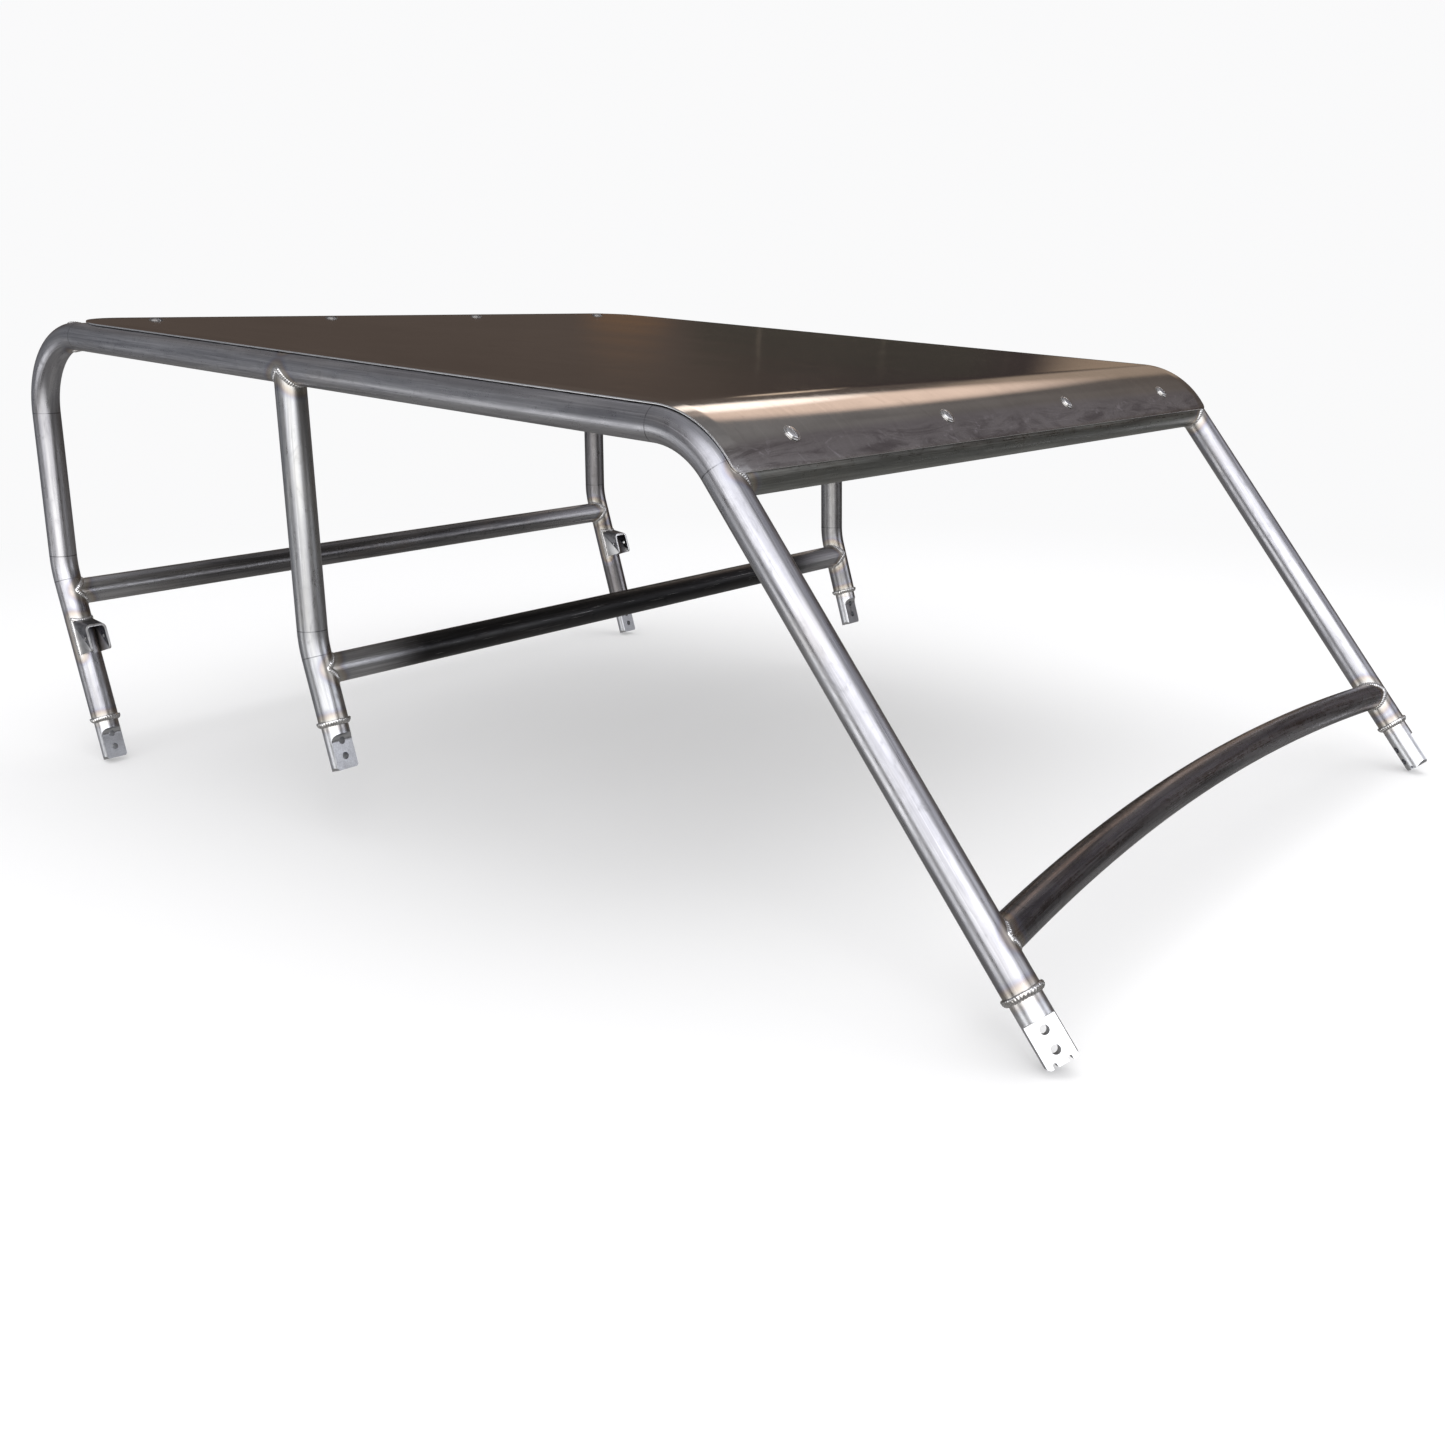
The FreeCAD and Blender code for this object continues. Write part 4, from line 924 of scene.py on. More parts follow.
bevel(panel, 0.00035, 60, 2, 35)
lip_x = at(on_front(0.0755)[0], 0, 0)[0]
rear_x = at(0.0, 0, 0)[0] + 0.19
paint_cut(panel, lambda normal, middle:  # the side, front and rear edges
          (abs(normal[1]) > 0.35 and abs(middle[1]) > PANEL_HALF - 0.004)
          or (middle[0] > lip_x and normal @ FRONT_DOWN > 0.5)
          or (middle[0] < rear_x and normal[0] < -0.5))

# two small beads on the header tube beside each fastener tab
for row, ((x, z), axis, along) in STUD_ROWS.items():
    header_x, header_z = FRONT_HEADER if row == "front" else REAR_HEADER
    for i, y in enumerate(STUD_Y, start=1):
        base = at(x, y, z)
        to_header = at(header_x, y, header_z) - base
        for k, place in enumerate((12.5 * MM, 16.2 * MM)):
            off = place - to_header @ along
            if abs(off) > TUBE_R:
                continue
            level = to_header @ axis + math.sqrt(TUBE_R * TUBE_R - off * off)
            line = [base + along * place + axis * level + Y * t for t in np.linspace(-0.024, 0.024, 30)]
            outs = [(-along if k == 0 else along) * 0.7 + axis * 0.7] * 30
            bead("weld_%s_tab_%d_%d" % (row, i, k), line, outs, False, width=0.0042, height=0.0014)

weld_groups = {"cage": [], "foot": [], "bracket": [], "tab": []}
for obj in welds:
    kind = next((word for word in ("foot", "bracket", "tab") if word in obj.name), "cage")
    weld_groups[kind].append(obj)
weld_objs = [joined(objs, kind + "_weld_beads") for kind, objs in weld_groups.items()]


# ---------------------------------------------------------------------------
# materials
# ---------------------------------------------------------------------------
def shade(color, factor):
    return tuple(min(1, c * factor) for c in color)


class Nodes:
    """Builds the node tree of a new material or world."""

    def __init__(self, name, world=False):
        self.owner = (bpy.data.worlds if world else bpy.data.materials).new(name)
        self.owner.use_nodes = True
        self.tree = self.owner.node_tree
        self.tree.nodes.clear()

    def new(self, kind, inputs=None, **settings):
        """A node; inputs gives each socket an output to link, a value, or None to leave it."""
        node = self.tree.nodes.new(kind)
        for key, value in settings.items():
            setattr(node, key, value)
        for key, value in (inputs or {}).items():
            if hasattr(value, "is_output"):
                self.tree.links.new(value, node.inputs[key])
            elif value is not None:
                node.inputs[key].default_value = value
        return node

    def attr(self, name, out="Fac"):
        return self.new("ShaderNodeAttribute", attribute_name=name).outputs[out]

    def coord(self, out="Object"):
        return self.new("ShaderNodeTexCoord").outputs[out]

    def geometry(self, out):
        return self.new("ShaderNodeNewGeometry").outputs[out]

    def math(self, op, a, b=None, c=None, clamp=False):
        return self.new("ShaderNodeMath", {0: a, 1: b, 2: c}, operation=op, use_clamp=clamp).outputs[0]

    def vector(self, op, a, b=None, out=0):
        return self.new("ShaderNodeVectorMath", {0: a, 1: b}, operation=op).outputs[out]

    def split(self, vector):
        return self.new("ShaderNodeSeparateXYZ", {0: vector}).outputs

    def combine(self, x=None, y=None, z=None):
        return self.new("ShaderNodeCombineXYZ", {0: x, 1: y, 2: z}).outputs[0]

    def noise(self, vector, detail, rough, distortion=0.0):
        return self.new("ShaderNodeTexNoise", {
            "Vector": vector, "Scale": 1.0, "Detail": detail, "Roughness": rough,
            "Distortion": distortion}).outputs["Fac"]

    def grain(self, vector, stretch, detail, rough, distortion=0.0):
        """Noise with its own frequency along each axis; one number stands for all three."""
        stretch = stretch if isinstance(stretch, tuple) else (stretch,) * 3
        return self.noise(self.vector("MULTIPLY", vector, stretch), detail, rough, distortion)

    def step(self, value, span, to=(0.0, 1.0), kind="SMOOTHSTEP"):
        """Maps value from span to the range to, with soft ends."""
        return self.new("ShaderNodeMapRange", {
            "Value": value, "From Min": span[0], "From Max": span[1], "To Min": to[0],
            "To Max": to[1]}, interpolation_type=kind).outputs["Result"]

    def linear(self, value, span, to):
        return self.step(value, span, to, "LINEAR")

    def mix(self, fac, a, b):
        a, b = ((*c, 1) if isinstance(c, tuple) else c for c in (a, b))
        return self.new("ShaderNodeMix", {"Factor": fac, "A": a, "B": b},
                        data_type="RGBA").outputs["Result"]

    def layers(self, base, rows):
        """Tints base by (pattern, level where it starts, level where full, strength, colour,
        optional mask) in turn."""
        for pattern, start, full, strength, color, *mask in rows:
            fac = self.step(pattern, (start, full), to=(0.0, strength))
            if mask:
                fac = self.math("MULTIPLY", mask[0], fac)
            base = self.mix(fac, base, color)
        return base

    def ramp(self, fac, stops):
        node = self.new("ShaderNodeValToRGB", {0: fac})
        elements = node.color_ramp.elements
        while len(elements) < len(stops):
            elements.new(0.5)
        for element, (position, color) in zip(elements, stops):
            element.position = position
            element.color = (*color, 1.0)
        return node.outputs["Color"]

    def bump(self, height, distance, strength, normal=None):
        return self.new("ShaderNodeBump", {
            "Strength": strength, "Distance": distance, "Height": height,
            "Normal": normal}).outputs["Normal"]

    def metal(self, color, rough, normal):
        shader = self.new("ShaderNodeBsdfPrincipled", {
            "Metallic": 1.0, "Base Color": color, "Roughness": rough, "Normal": normal})
        self.new("ShaderNodeOutputMaterial", {0: shader.outputs[0]})
        return self.owner


def heat_tint(m, base, noise, amount, reach=1.0):
    """Straw, brown, then blue bands that fade away from a weld."""
    weld = m.math("MULTIPLY", m.attr("weld"), 1 / reach)
    wobble = m.math("MULTIPLY", m.math("SUBTRACT", noise, 0.5), 0.007)
    distance = m.math("ADD", weld, wobble)
    bands = m.ramp(m.math("MULTIPLY", distance, 1 / 0.030, clamp=True),
                   [(0.0, (0.62, 0.60, 0.58)), (0.16, (0.56, 0.53, 0.48)), (0.32, (0.48, 0.41, 0.32)),
                    (0.45, (0.34, 0.28, 0.26)), (0.58, (0.27, 0.27, 0.35)), (0.75, (0.38, 0.40, 0.44)),
                    (1.0, (0.48, 0.48, 0.50))])
    return m.mix(m.step(distance, (0.013, 0.026), to=(amount, 0.0)), base, bands)


def tube_steel(name, light, dark, warm, rough=(0.24, 0.42), grime=0.35, clean_ends=None, scale=None):
    """Drawn tube: streaks along it, patches, grime and scratches.

    clean_ends: distances from the tube's end over which bright metal fades out.
    scale: painted shade, dark and patchy, on the far (left) side's tubes: (x where the painted shade
    starts to fade, x where it is gone, amount), left side only.
    """
    m = Nodes(name)
    piece = m.combine(z=m.math("MULTIPLY", m.attr("pid"), 0.37))
    place = m.vector("ADD", m.attr("tc", "Vector"), piece)
    streak = m.grain(place, (520.0, 520.0, 6.0), detail=5.0, rough=0.62)
    broad = m.grain(place, (70.0, 70.0, 3.2), detail=3.0, rough=0.6, distortion=0.6)
    patch = m.grain(place, (24.0, 24.0, 9.0), detail=5.0, rough=0.6)
    smudge = m.grain(place, (45.0, 45.0, 26.0), detail=6.0, rough=0.7, distortion=1.4)
    specks = m.grain(place, (900.0, 900.0, 700.0), detail=2.0, rough=0.5)
    scratch = m.grain(m.vector("ADD", place, (0.3, 0.7, 0.0)), (1500.0, 1500.0, 14.0),
                      detail=2.0, rough=0.4)
    base = m.mix(m.step(broad, (0.35, 0.68)), dark, light)
    base = m.layers(base, [
        (streak, 0.50, 0.74, 0.45, shade(light, 1.45)),
        (patch, 0.52, 0.72, 0.30, warm),
        (smudge, 0.56, 0.74, grime, shade(dark, 0.42)),
        (scratch, 0.69, 0.76, 0.55, (0.80, 0.80, 0.80)),
        (specks, 0.70, 0.80, 0.25, shade(dark, 0.3))])
    if clean_ends:
        ragged = m.math("MULTIPLY", m.math("SUBTRACT", patch, 0.5), 0.05)
        bright = m.mix(m.step(streak, (0.4, 0.7)), (0.50, 0.50, 0.52), (0.78, 0.78, 0.80))
        base = m.mix(m.step(m.math("ADD", m.attr("en"), ragged), clean_ends, to=(0.85, 0.0)),
                     base, bright)
    # painted shade: tubes on the far (left) side are darkened, patchily, behind an x limit
    if scale:
        fade_start, fade_end, amount = scale
        where = m.split(m.coord())
        mask = m.math("MULTIPLY", m.step(where["Y"], (0.30, 0.50)),
                      m.step(where["X"], (fade_start, fade_end), to=(1.0, 0.0)))
        patchy_far_side_shade = m.step(patch, (0.30, 0.70), to=(amount, min(1.0, amount + 0.15)))
        base = m.mix(m.math("MULTIPLY", mask, patchy_far_side_shade), base, (0.075, 0.064, 0.058))
    # a scribed line around the tube at each end of a bend
    scribe = m.step(m.attr("mk"), (0.0003, 0.0011), to=(1.0, 0.0))
    scribe = m.math("MULTIPLY", scribe, m.step(broad, (0.30, 0.55), to=(0.25, 0.75)))
    base = heat_tint(m, m.mix(scribe, base, (0.05, 0.05, 0.055)), patch, amount=0.62)
    roughness = m.math("ADD", m.linear(smudge, (0.3, 0.75), to=rough),
                       m.linear(streak, (0.3, 0.75), to=(-0.05, 0.08)))
    fine = m.bump(streak, distance=0.00006, strength=0.55)
    return m.metal(base, roughness, m.bump(patch, distance=0.00035, strength=0.35, normal=fine))


def weld_metal():
    m = Nodes("weld_metal")
    place = m.coord()
    fine = m.grain(place, 900.0, detail=4.0, rough=0.6)
    slow = m.grain(place, 130.0, detail=3.0, rough=0.5)
    base = m.mix(m.step(slow, (0.35, 0.65)), (0.62, 0.61, 0.60), (0.82, 0.82, 0.83))
    base = m.layers(base, [
        (slow, 0.58, 0.75, 0.45, (0.55, 0.44, 0.32)),
        (fine, 0.60, 0.75, 0.4, (0.30, 0.28, 0.27))])
    return m.metal(base, m.linear(fine, (0.3, 0.7), to=(0.18, 0.34)),
                   m.bump(fine, distance=0.00008, strength=0.4))


def machined(name, centre, axis, milled=None):
    """Machined steel: fine turning lines around the axis; faces towards milled are darker in colour."""
    light, dark = (0.66, 0.68, 0.72), (0.50, 0.52, 0.56)
    m = Nodes(name)
    place = m.coord()
    along = m.vector("DOT_PRODUCT", m.vector("SUBTRACT", place, tuple(centre)), tuple(axis), "Value")
    turned = m.combine(x=m.math("MULTIPLY", along, 1400.0))
    drift = m.vector("MULTIPLY", place, (14.0, 14.0, 14.0))
    lines = m.noise(m.vector("ADD", turned, drift), detail=3.0, rough=0.6)
    cloud = m.grain(place, 55.0, detail=5.0, rough=0.65, distortion=0.6)
    nick = m.grain(place, 420.0, detail=3.0, rough=0.6)
    base = m.mix(m.step(cloud, (0.35, 0.68)), dark, light)
    base = m.layers(base, [
        (lines, 0.45, 0.75, 0.35, shade(light, 1.25)),
        (nick, 0.66, 0.78, 0.45, shade(dark, 0.45))])
    base = heat_tint(m, base, cloud, amount=0.75, reach=0.9)
    base = m.layers(base, [(m.geometry("Pointiness"), 0.52, 0.60, 0.5, (0.85, 0.85, 0.86))])
    # the flat that faces milled is darkened in colour, in mottled patches; its roughness is unchanged
    if milled is not None:
        facing = m.vector("DOT_PRODUCT", m.geometry("True Normal"), tuple(milled), "Value")
        dull = m.math("MULTIPLY", m.step(facing, (0.90, 0.99)),
                      m.step(nick, (0.35, 0.65), to=(0.48, 0.64)))
        base = m.mix(dull, base, (0.12, 0.12, 0.13))
    waves = m.bump(cloud, distance=0.0002, strength=0.2)
    return m.metal(base, m.linear(cloud, (0.3, 0.7), to=(0.26, 0.40)),
                   m.bump(lines, distance=0.00005, strength=0.45, normal=waves))


def roof_aluminium():
    """Rolled sheet: grain and wipe marks, and a rubbed, scratched front lip."""
    m = Nodes("roof_sheet_aluminium")
    place = m.coord()
    grain = m.grain(place, (3.0, 420.0, 3.0), detail=4.0, rough=0.6)
    rolled = m.grain(place, (1.6, 60.0, 2.0), detail=4.0, rough=0.6, distortion=0.4)
    cloud = m.grain(place, (4.5, 4.5, 9.0), detail=6.0, rough=0.62, distortion=0.8)
    wipe = m.grain(place, (9.0, 26.0, 12.0), detail=6.0, rough=0.7, distortion=1.8)
    prints = m.grain(place, 70.0, detail=5.0, rough=0.65, distortion=1.0)
    fine = m.grain(place, 1600.0, detail=2.0, rough=0.5)
    rub = m.grain(place, (30.0, 7.0, 40.0), detail=7.0, rough=0.72, distortion=1.2)
    lines = m.grain(place, (900.0, 5.0, 1100.0), detail=3.0, rough=0.5)
    dabs = m.grain(place, (38.0, 26.0, 38.0), detail=5.0, rough=0.7, distortion=0.8)
    lip = m.step(m.split(place)["X"], [float(at(x, 0, 0)[0]) for x in (1.446, 1.462)])
    sheared = m.attr("cut")
    base = m.mix(m.step(cloud, (0.3, 0.7)), (0.60, 0.585, 0.57), (0.70, 0.685, 0.67))
    base = m.layers(base, [
        (rolled, 0.50, 0.72, 0.30, (0.80, 0.78, 0.76)),
        (wipe, 0.54, 0.72, 0.30, (0.46, 0.43, 0.42)),
        (prints, 0.62, 0.78, 0.30, (0.40, 0.37, 0.36)),
        (rub, 0.42, 0.66, 0.75, (0.25, 0.225, 0.225), lip),
        (dabs, 0.56, 0.70, 0.70, (1.0, 0.98, 1.0), lip),
        (lines, 0.66, 0.74, 0.55, (1.0, 1.0, 1.0), m.step(lip, (0.0, 1.0), to=(0.15, 1.0)))])
    base = m.mix(sheared, base, (0.80, 0.80, 0.81))
    roughness = m.linear(wipe, (0.3, 0.75), to=(0.060, 0.115))
    for extra in (m.linear(prints, (0.55, 0.75), to=(0.0, 0.06)),
                  m.math("MULTIPLY", lip, 0.10), m.math("MULTIPLY", sheared, 0.22)):
        roughness = m.math("ADD", roughness, extra)
    normal = None
    for pattern, distance, strength in ((grain, 0.00003, 0.30), (cloud, 0.0006, 0.12),
                                        (rub, 0.0004, 0.10), (fine, 0.00001, 0.2)):
        normal = m.bump(pattern, distance, strength, normal)
    return m.metal(base, roughness, normal)


def small_part(name, light, dark, rough=(0.18, 0.32), scale=1.0, tint=None, bright_cuts=False):
    """Mottled metal with bright edges; scale is the pattern's frequency."""
    m = Nodes(name)
    place = m.coord()
    mottle = m.grain(place, 260.0 * scale, detail=5.0, rough=0.6, distortion=0.5)
    fine = m.grain(place, (2200.0 * scale, 2200.0 * scale, 300.0 * scale), detail=3.0, rough=0.6)
    base = m.mix(m.step(mottle, (0.35, 0.65)), dark, light)
    base = m.layers(base, [(fine, 0.60, 0.75, 0.4, shade(dark, 0.5))])
    if tint:
        base = m.layers(base, [(mottle, 0.5, 0.75, 0.4, tint)])
    edge = m.step(m.geometry("Pointiness"), (0.52, 0.60), to=(0.0, 0.45))
    if bright_cuts:
        sheared = m.math("MULTIPLY", m.attr("cut"), m.step(mottle, (0.2, 0.6), to=(0.85, 1.0)))
        edge = m.math("MAXIMUM", edge, sheared)
    return m.metal(m.mix(edge, base, (0.9, 0.9, 0.9)), m.linear(mottle, (0.3, 0.7), to=rough),
                   m.bump(fine, distance=0.00003, strength=0.4))


materials = {
    # scale on the hoop and pillar paints shade on the far (left) side: the hoop's rear part and the whole
    # pillar
    "hoop": tube_steel("bare_tube_steel", light=(0.56, 0.56, 0.585), dark=(0.36, 0.36, 0.385),
                       warm=(0.47, 0.44, 0.41), scale=(-0.82, -0.70, 0.55)),
    "pillar": tube_steel("bare_pillar_steel", light=(0.56, 0.57, 0.585), dark=(0.38, 0.385, 0.40),
                         warm=(0.50, 0.48, 0.44), scale=(8.0, 9.0, 0.38)),
    "rear_cross_bar": tube_steel(
        "dark_scale_steel", light=(0.26, 0.255, 0.26), dark=(0.12, 0.118, 0.124),
        warm=(0.21, 0.17, 0.145), rough=(0.22, 0.40), grime=0.5, clean_ends=(0.0, 0.30)),
    "front_header_tube": tube_steel(
        "header_tube_steel", light=(0.34, 0.35, 0.33), dark=(0.20, 0.205, 0.195),
        warm=(0.28, 0.26, 0.23), rough=(0.24, 0.40), grime=0.4),
    "harness_bar": tube_steel(
        "black_scale_steel", light=(0.060, 0.060, 0.062), dark=(0.032, 0.032, 0.034),
        warm=(0.055, 0.048, 0.044), rough=(0.30, 0.46), grime=0.4, clean_ends=(0.06, 0.20)),
    "windshield_arch_bar": tube_steel(
        "rolled_bar_steel", light=(0.34, 0.33, 0.35), dark=(0.14, 0.135, 0.145),
        warm=(0.27, 0.22, 0.20), rough=(0.20, 0.38), grime=0.4),
    "weld": weld_metal(),
    "roof": roof_aluminium(),
    "stud": small_part("plated_stud_steel", light=(0.80, 0.80, 0.80), dark=(0.62, 0.62, 0.63)),
    "washer": small_part("plated_washer_steel", light=(0.74, 0.73, 0.71), dark=(0.54, 0.53, 0.52),
                         rough=(0.22, 0.36)),
    "plate": small_part("bent_plate_steel", light=(0.17, 0.17, 0.185), dark=(0.075, 0.075, 0.085),
                        rough=(0.26, 0.42), scale=0.25, tint=(0.14, 0.11, 0.10), bright_cuts=True),
    "tab": small_part("tab_plate_steel", light=(0.30, 0.30, 0.32), dark=(0.15, 0.15, 0.165),
                      rough=(0.28, 0.44), scale=0.25),
    # painted shade: the rear studs and washers are painted dark so their heads catch no highlight; they
    # are the same plated steel as the front ones
    "dull_stud": small_part("dull_stud_steel", light=(0.20, 0.19, 0.18), dark=(0.13, 0.12, 0.12),
                            rough=(0.30, 0.44)),
    "spring": small_part("spring_wire_steel", light=(0.55, 0.54, 0.52), dark=(0.34, 0.33, 0.33)),
    "rivet": small_part("rivet_aluminium_plain", light=(0.78, 0.78, 0.79), dark=(0.60, 0.60, 0.61),
                        rough=(0.30, 0.42)),
    "ring": small_part("retainer_steel", light=(0.60, 0.60, 0.60), dark=(0.40, 0.40, 0.41)),
}


def set_material(obj, material):
    obj.data.materials.clear()
    obj.data.materials.append(material)


def finish(obj, material, node=None, body="root"):
    set_material(obj, material)
    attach(obj, body)
    if node:
        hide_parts(node)


for obj, node in tubes:
    if node in materials:  # a dark tube with a material of its own
        finish(obj, materials[node], node)
    else:
        finish(obj, materials["pillar" if "pillar" in node else "hoop"], node)
for i, (obj, node, base, down, flat) in enumerate(feet):
    steel = machined("machined_foot_%d" % i, base, down, milled=None if "front" in node else flat)
    finish(obj, steel, node)
for obj, node in brackets:
    finish(obj, materials["plate"], node)
# the rear studs and washers take the painted-shade material
for obj, node in studs:
    finish(obj, materials["stud" if "front" in node else "dull_stud"], node, node)
for obj, node in washers:
    finish(obj, materials["washer" if "front" in node else "dull_stud"], node)
finish(panel, materials["roof"], "roof_panel")
for obj in weld_objs:
    finish(obj, materials["weld"])

# CAD pieces kept as they are: (word in the node's name, material)
KEPT = (("springs", "spring"), ("rivets", "rivet"), ("tabs", "tab"), ("retainers", "ring"))
for node, obj in frame["nodes"].items():
    key = next((key for word, key in KEPT if word in node), None)
    if key:
        set_material(obj, materials[key])
        obj.data.shade_smooth()
        sharpen(obj, 40)

# ---------------------------------------------------------------------------
# camera and floor
# ---------------------------------------------------------------------------
PALE = (0.955, 0.955, 0.955 * 1.005, 1)
CAM_RIGHT = vec(0.784058655, 0.620686737, 0)
CAM_DOWN = vec(0.165914427, -0.209585020, -0.963611188)
CAM_AHEAD = vec(-0.598100684, 0.755527692, -0.267307834)
CAM_PLACE = at(2.51307, -2.01958, 0.48993)

cam_data = bpy.data.cameras.new("photo_camera")
cam_data.sensor_width = 36.0
cam_data.lens = 37.861038
cam = bpy.data.objects.new("photo_camera", cam_data)
cam.matrix_world = Matrix([[CAM_RIGHT[i], -CAM_DOWN[i], -CAM_AHEAD[i], CAM_PLACE[i]] for i in range(3)]
                          + [[0, 0, 0, 1]])
bpy.context.scene.collection.objects.link(cam)
bpy.context.scene.camera = cam


def pale_floor():
    """A floor that takes soft shadows near the cage and glows evenly further out."""
    bm = bmesh.new()
    bmesh.ops.create_grid(bm, x_segments=8, y_segments=8, size=30.0)
    mesh = bpy.data.meshes.new("pale_floor")
    bm.to_mesh(mesh)
    bm.free()
    floor = bpy.data.objects.new("pale_floor", mesh)
    floor.location = (0, 0, -0.0005)
    bpy.context.scene.collection.objects.link(floor)
    m = Nodes("pale_floor")
    distance = m.vector("LENGTH", m.coord(), out="Value")
    diffuse = m.new("ShaderNodeBsdfDiffuse", {"Color": (0.86, 0.86, 0.865, 1)})
    glow = m.new("ShaderNodeEmission", {"Color": PALE})
    mixer = m.new("ShaderNodeMixShader", {0: m.step(distance, (1.2, 3.4), to=(0.30, 1.0)),
                                          1: diffuse.outputs[0], 2: glow.outputs[0]})
    m.new("ShaderNodeOutputMaterial", {0: mixer.outputs[0]})
    mesh.materials.append(m.owner)
    floor.visible_glossy = False


pale_floor()

# ---------------------------------------------------------------------------
# world: pale to the camera and to diffuse light, a dark warm hall in reflections
# ---------------------------------------------------------------------------
HALL = [  # (height from 0 straight down to 1 straight up, colour)
    (0.0, (0.30, 0.29, 0.28)), (0.25, (0.27, 0.265, 0.26)), (0.41, (0.20, 0.195, 0.19)),
    (0.475, (0.11, 0.10, 0.09)), (0.51, (0.085, 0.066, 0.055)), (0.58, (0.095, 0.072, 0.060)),
    (0.66, (0.13, 0.105, 0.09)), (0.82, (0.25, 0.24, 0.24)), (1.0, (0.50, 0.50, 0.52))]
# round patches: (azimuth, elevation, radius of the full part, outer radius, colour), degrees
PATCHES = [
    (-152, 6, 16, 44, (0.24, 0.245, 0.26)),
    (-48, 27, 24, 50, (2.50, 2.50, 2.58)),       # soft wall behind the camera
    (-86, 14, 14, 25, (2.30, 2.30, 2.35)),
    (-52, -6, 16, 36, (1.95, 1.92, 1.86)),       # bright floor by the camera
    (-126, -23, 8, 18, (1.9, 1.9, 1.9)),
    (42, 38, 10, 24, (0.55, 0.55, 0.60)),
    (32, 14, 9, 20, (1.75, 1.78, 1.88)),
    (75, 28, 8, 15, (0.17, 0.155, 0.165)),
    (108, 15, 4, 9, (0.34, 0.26, 0.20)),
    (110, 28, 4.0, 10.0, (1.00, 0.76, 0.62)),    # warm opening on the far side
    (119, 27, 1.5, 6.5, (1.9, 1.65, 1.45)),
    (119, 5, 4, 10, (0.044, 0.034, 0.032))]
PATCHES_OVER_SHELVES = [
    (131.6, 4.6, 0.5, 2.2, (0.15, 0.088, 0.052)),
    (113, 6, 1.0, 4.0, (0.30, 0.22, 0.16)),
    (124, 13, 0.5, 2.4, (0.75, 0.58, 0.44))]


def carried_direction(w):
    """View direction, turned with the camera so every side is lit as the main view is."""
    direction = w.vector("NORMALIZE", w.coord("Generated"))
    ahead = w.new("ShaderNodeVectorTransform", {0: (0.0, 0.0, 1.0)}, vector_type="VECTOR",
                  convert_from="CAMERA", convert_to="WORLD")
    ahead = w.split(ahead.outputs[0])
    swing = w.math("SUBTRACT", math.atan2(CAM_AHEAD[1], CAM_AHEAD[0]),
                   w.math("ARCTAN2", ahead["Y"], ahead["X"]))
    return w.new("ShaderNodeVectorRotate", {"Vector": direction, "Angle": swing},
                 rotation_type="Z_AXIS").outputs[0]


def add_patches(w, base, direction, patches):
    for azimuth, elevation, inner, outer, color in patches:
        az, el = math.radians(azimuth), math.radians(elevation)
        middle = (math.cos(el) * math.cos(az), math.cos(el) * math.sin(az), math.sin(el))
        dot = w.vector("DOT_PRODUCT", direction, middle, "Value")
        span = (math.cos(math.radians(outer)), math.cos(math.radians(inner)))
        base = w.mix(w.step(dot, span), base, color)
    return base


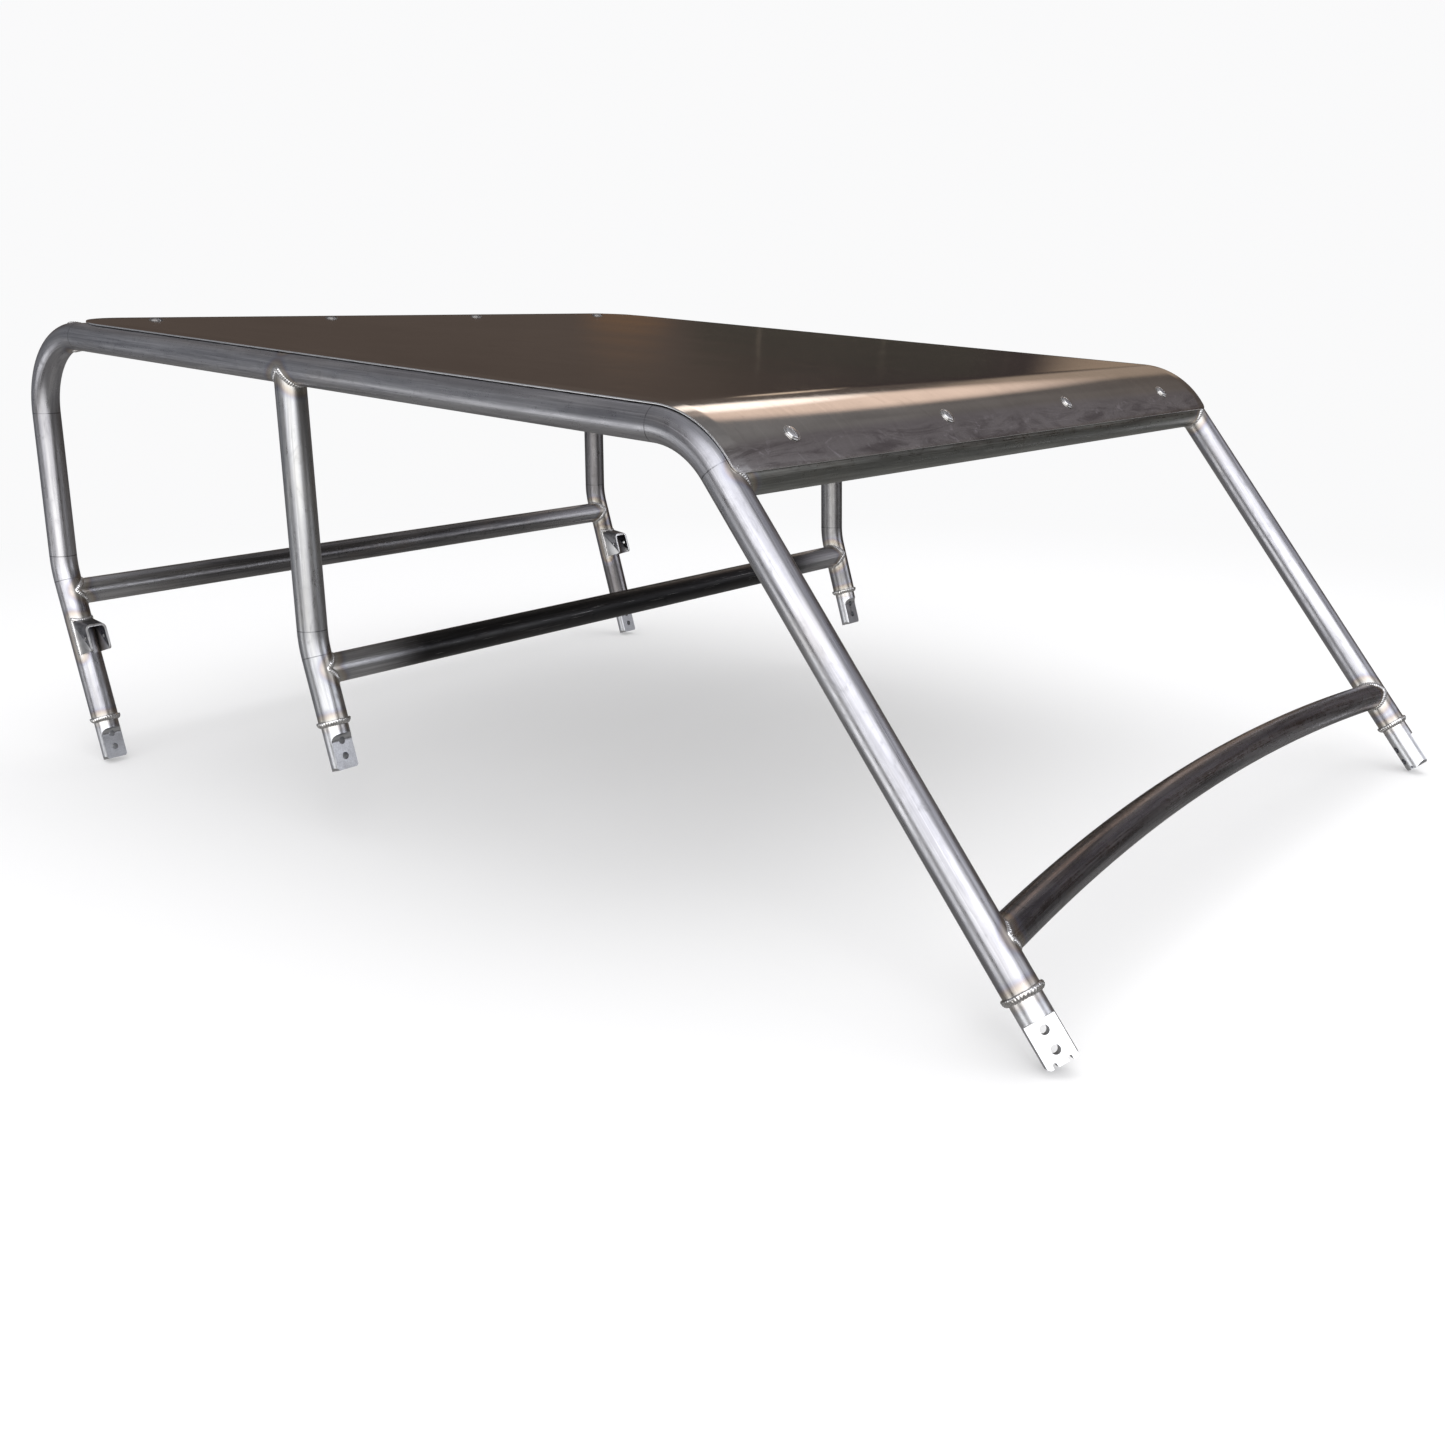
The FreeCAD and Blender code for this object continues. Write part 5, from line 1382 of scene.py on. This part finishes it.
def add_shelves(w, base, parts):
    """Shelves and frames on the far side, seen as a dark pattern in the sheet."""
    turn = w.math("MULTIPLY", w.math("ARCTAN2", parts["Y"], parts["X"]), 180 / math.pi)
    rise = w.math("MULTIPLY", w.math("ARCSINE", parts["Z"]), 180 / math.pi)
    cell = w.combine(x=w.math("MULTIPLY", turn, 0.105), y=w.math("MULTIPLY", rise, 0.16))
    shelves = w.new("ShaderNodeTexBrick", {
        "Vector": cell, "Color1": (0.026, 0.030, 0.025, 1), "Color2": (0.055, 0.046, 0.038, 1),
        "Mortar": (0.12, 0.10, 0.08, 1), "Scale": 1.0, "Mortar Size": 0.008,
        "Brick Width": 0.95, "Row Height": 0.17})
    inside = w.step(turn, (117.0, 119.5))
    for edge in (w.step(turn, (128.4, 129.8), to=(1.0, 0.0)),
                 w.step(rise, (5.9, 6.9), to=(1.0, 0.0)), w.step(rise, (-2.0, 0.0))):
        inside = w.math("MULTIPLY", inside, edge)
    return w.mix(inside, base, shelves.outputs["Color"])


def studio_world():
    w = Nodes("studio_world", world=True)
    direction = carried_direction(w)
    parts = w.split(direction)
    base = w.ramp(w.math("MULTIPLY_ADD", parts["Z"], 0.5, 0.5), HALL)
    murk = w.grain(direction, (7.0, 7.0, 22.0), detail=4.0, rough=0.55)
    base = w.layers(base, [(murk, 0.35, 0.70, 0.55, w.mix(0.5, base, (0.0, 0.0, 0.0)))])
    base = add_patches(w, base, direction, PATCHES)
    base = add_shelves(w, base, parts)
    base = add_patches(w, base, direction, PATCHES_OVER_SHELVES)
    rays = w.new("ShaderNodeLightPath").outputs
    hall = w.new("ShaderNodeBackground", {"Color": base})
    pale = w.new("ShaderNodeBackground", {"Color": PALE})
    mixer = w.new("ShaderNodeMixShader", {
        0: w.math("MAXIMUM", rays["Is Camera Ray"], rays["Is Diffuse Ray"]),
        1: hall.outputs[0], 2: pale.outputs[0]})
    w.new("ShaderNodeOutputWorld", {0: mixer.outputs[0]})
    return w.owner


bpy.context.scene.world = studio_world()


def area_light(name, place, target, size, energy, color):
    """A round light that is left out of reflections."""
    data = bpy.data.lights.new(name, "AREA")
    data.shape, data.size, data.energy, data.color = "DISK", size, energy, color
    obj = bpy.data.objects.new(name, data)
    obj.location = place
    aim = Vector(target) - Vector(place)
    obj.rotation_euler = aim.to_track_quat("-Z", "Y").to_euler()
    obj.visible_glossy = False
    bpy.context.scene.collection.objects.link(obj)


area_light("top_soft", place=(0.2, 0.2, 4.2), target=(0, 0, 0), size=4.5, energy=58.0,
           color=(1.0, 0.99, 0.98))
area_light("key_soft", place=(2.4, -2.6, 2.6), target=(0, 0, 0.3), size=1.6, energy=24.0,
           color=(1.0, 0.99, 0.97))

bpy.context.scene.view_settings.view_transform = "Standard"
bpy.context.scene.view_settings.look = "None"
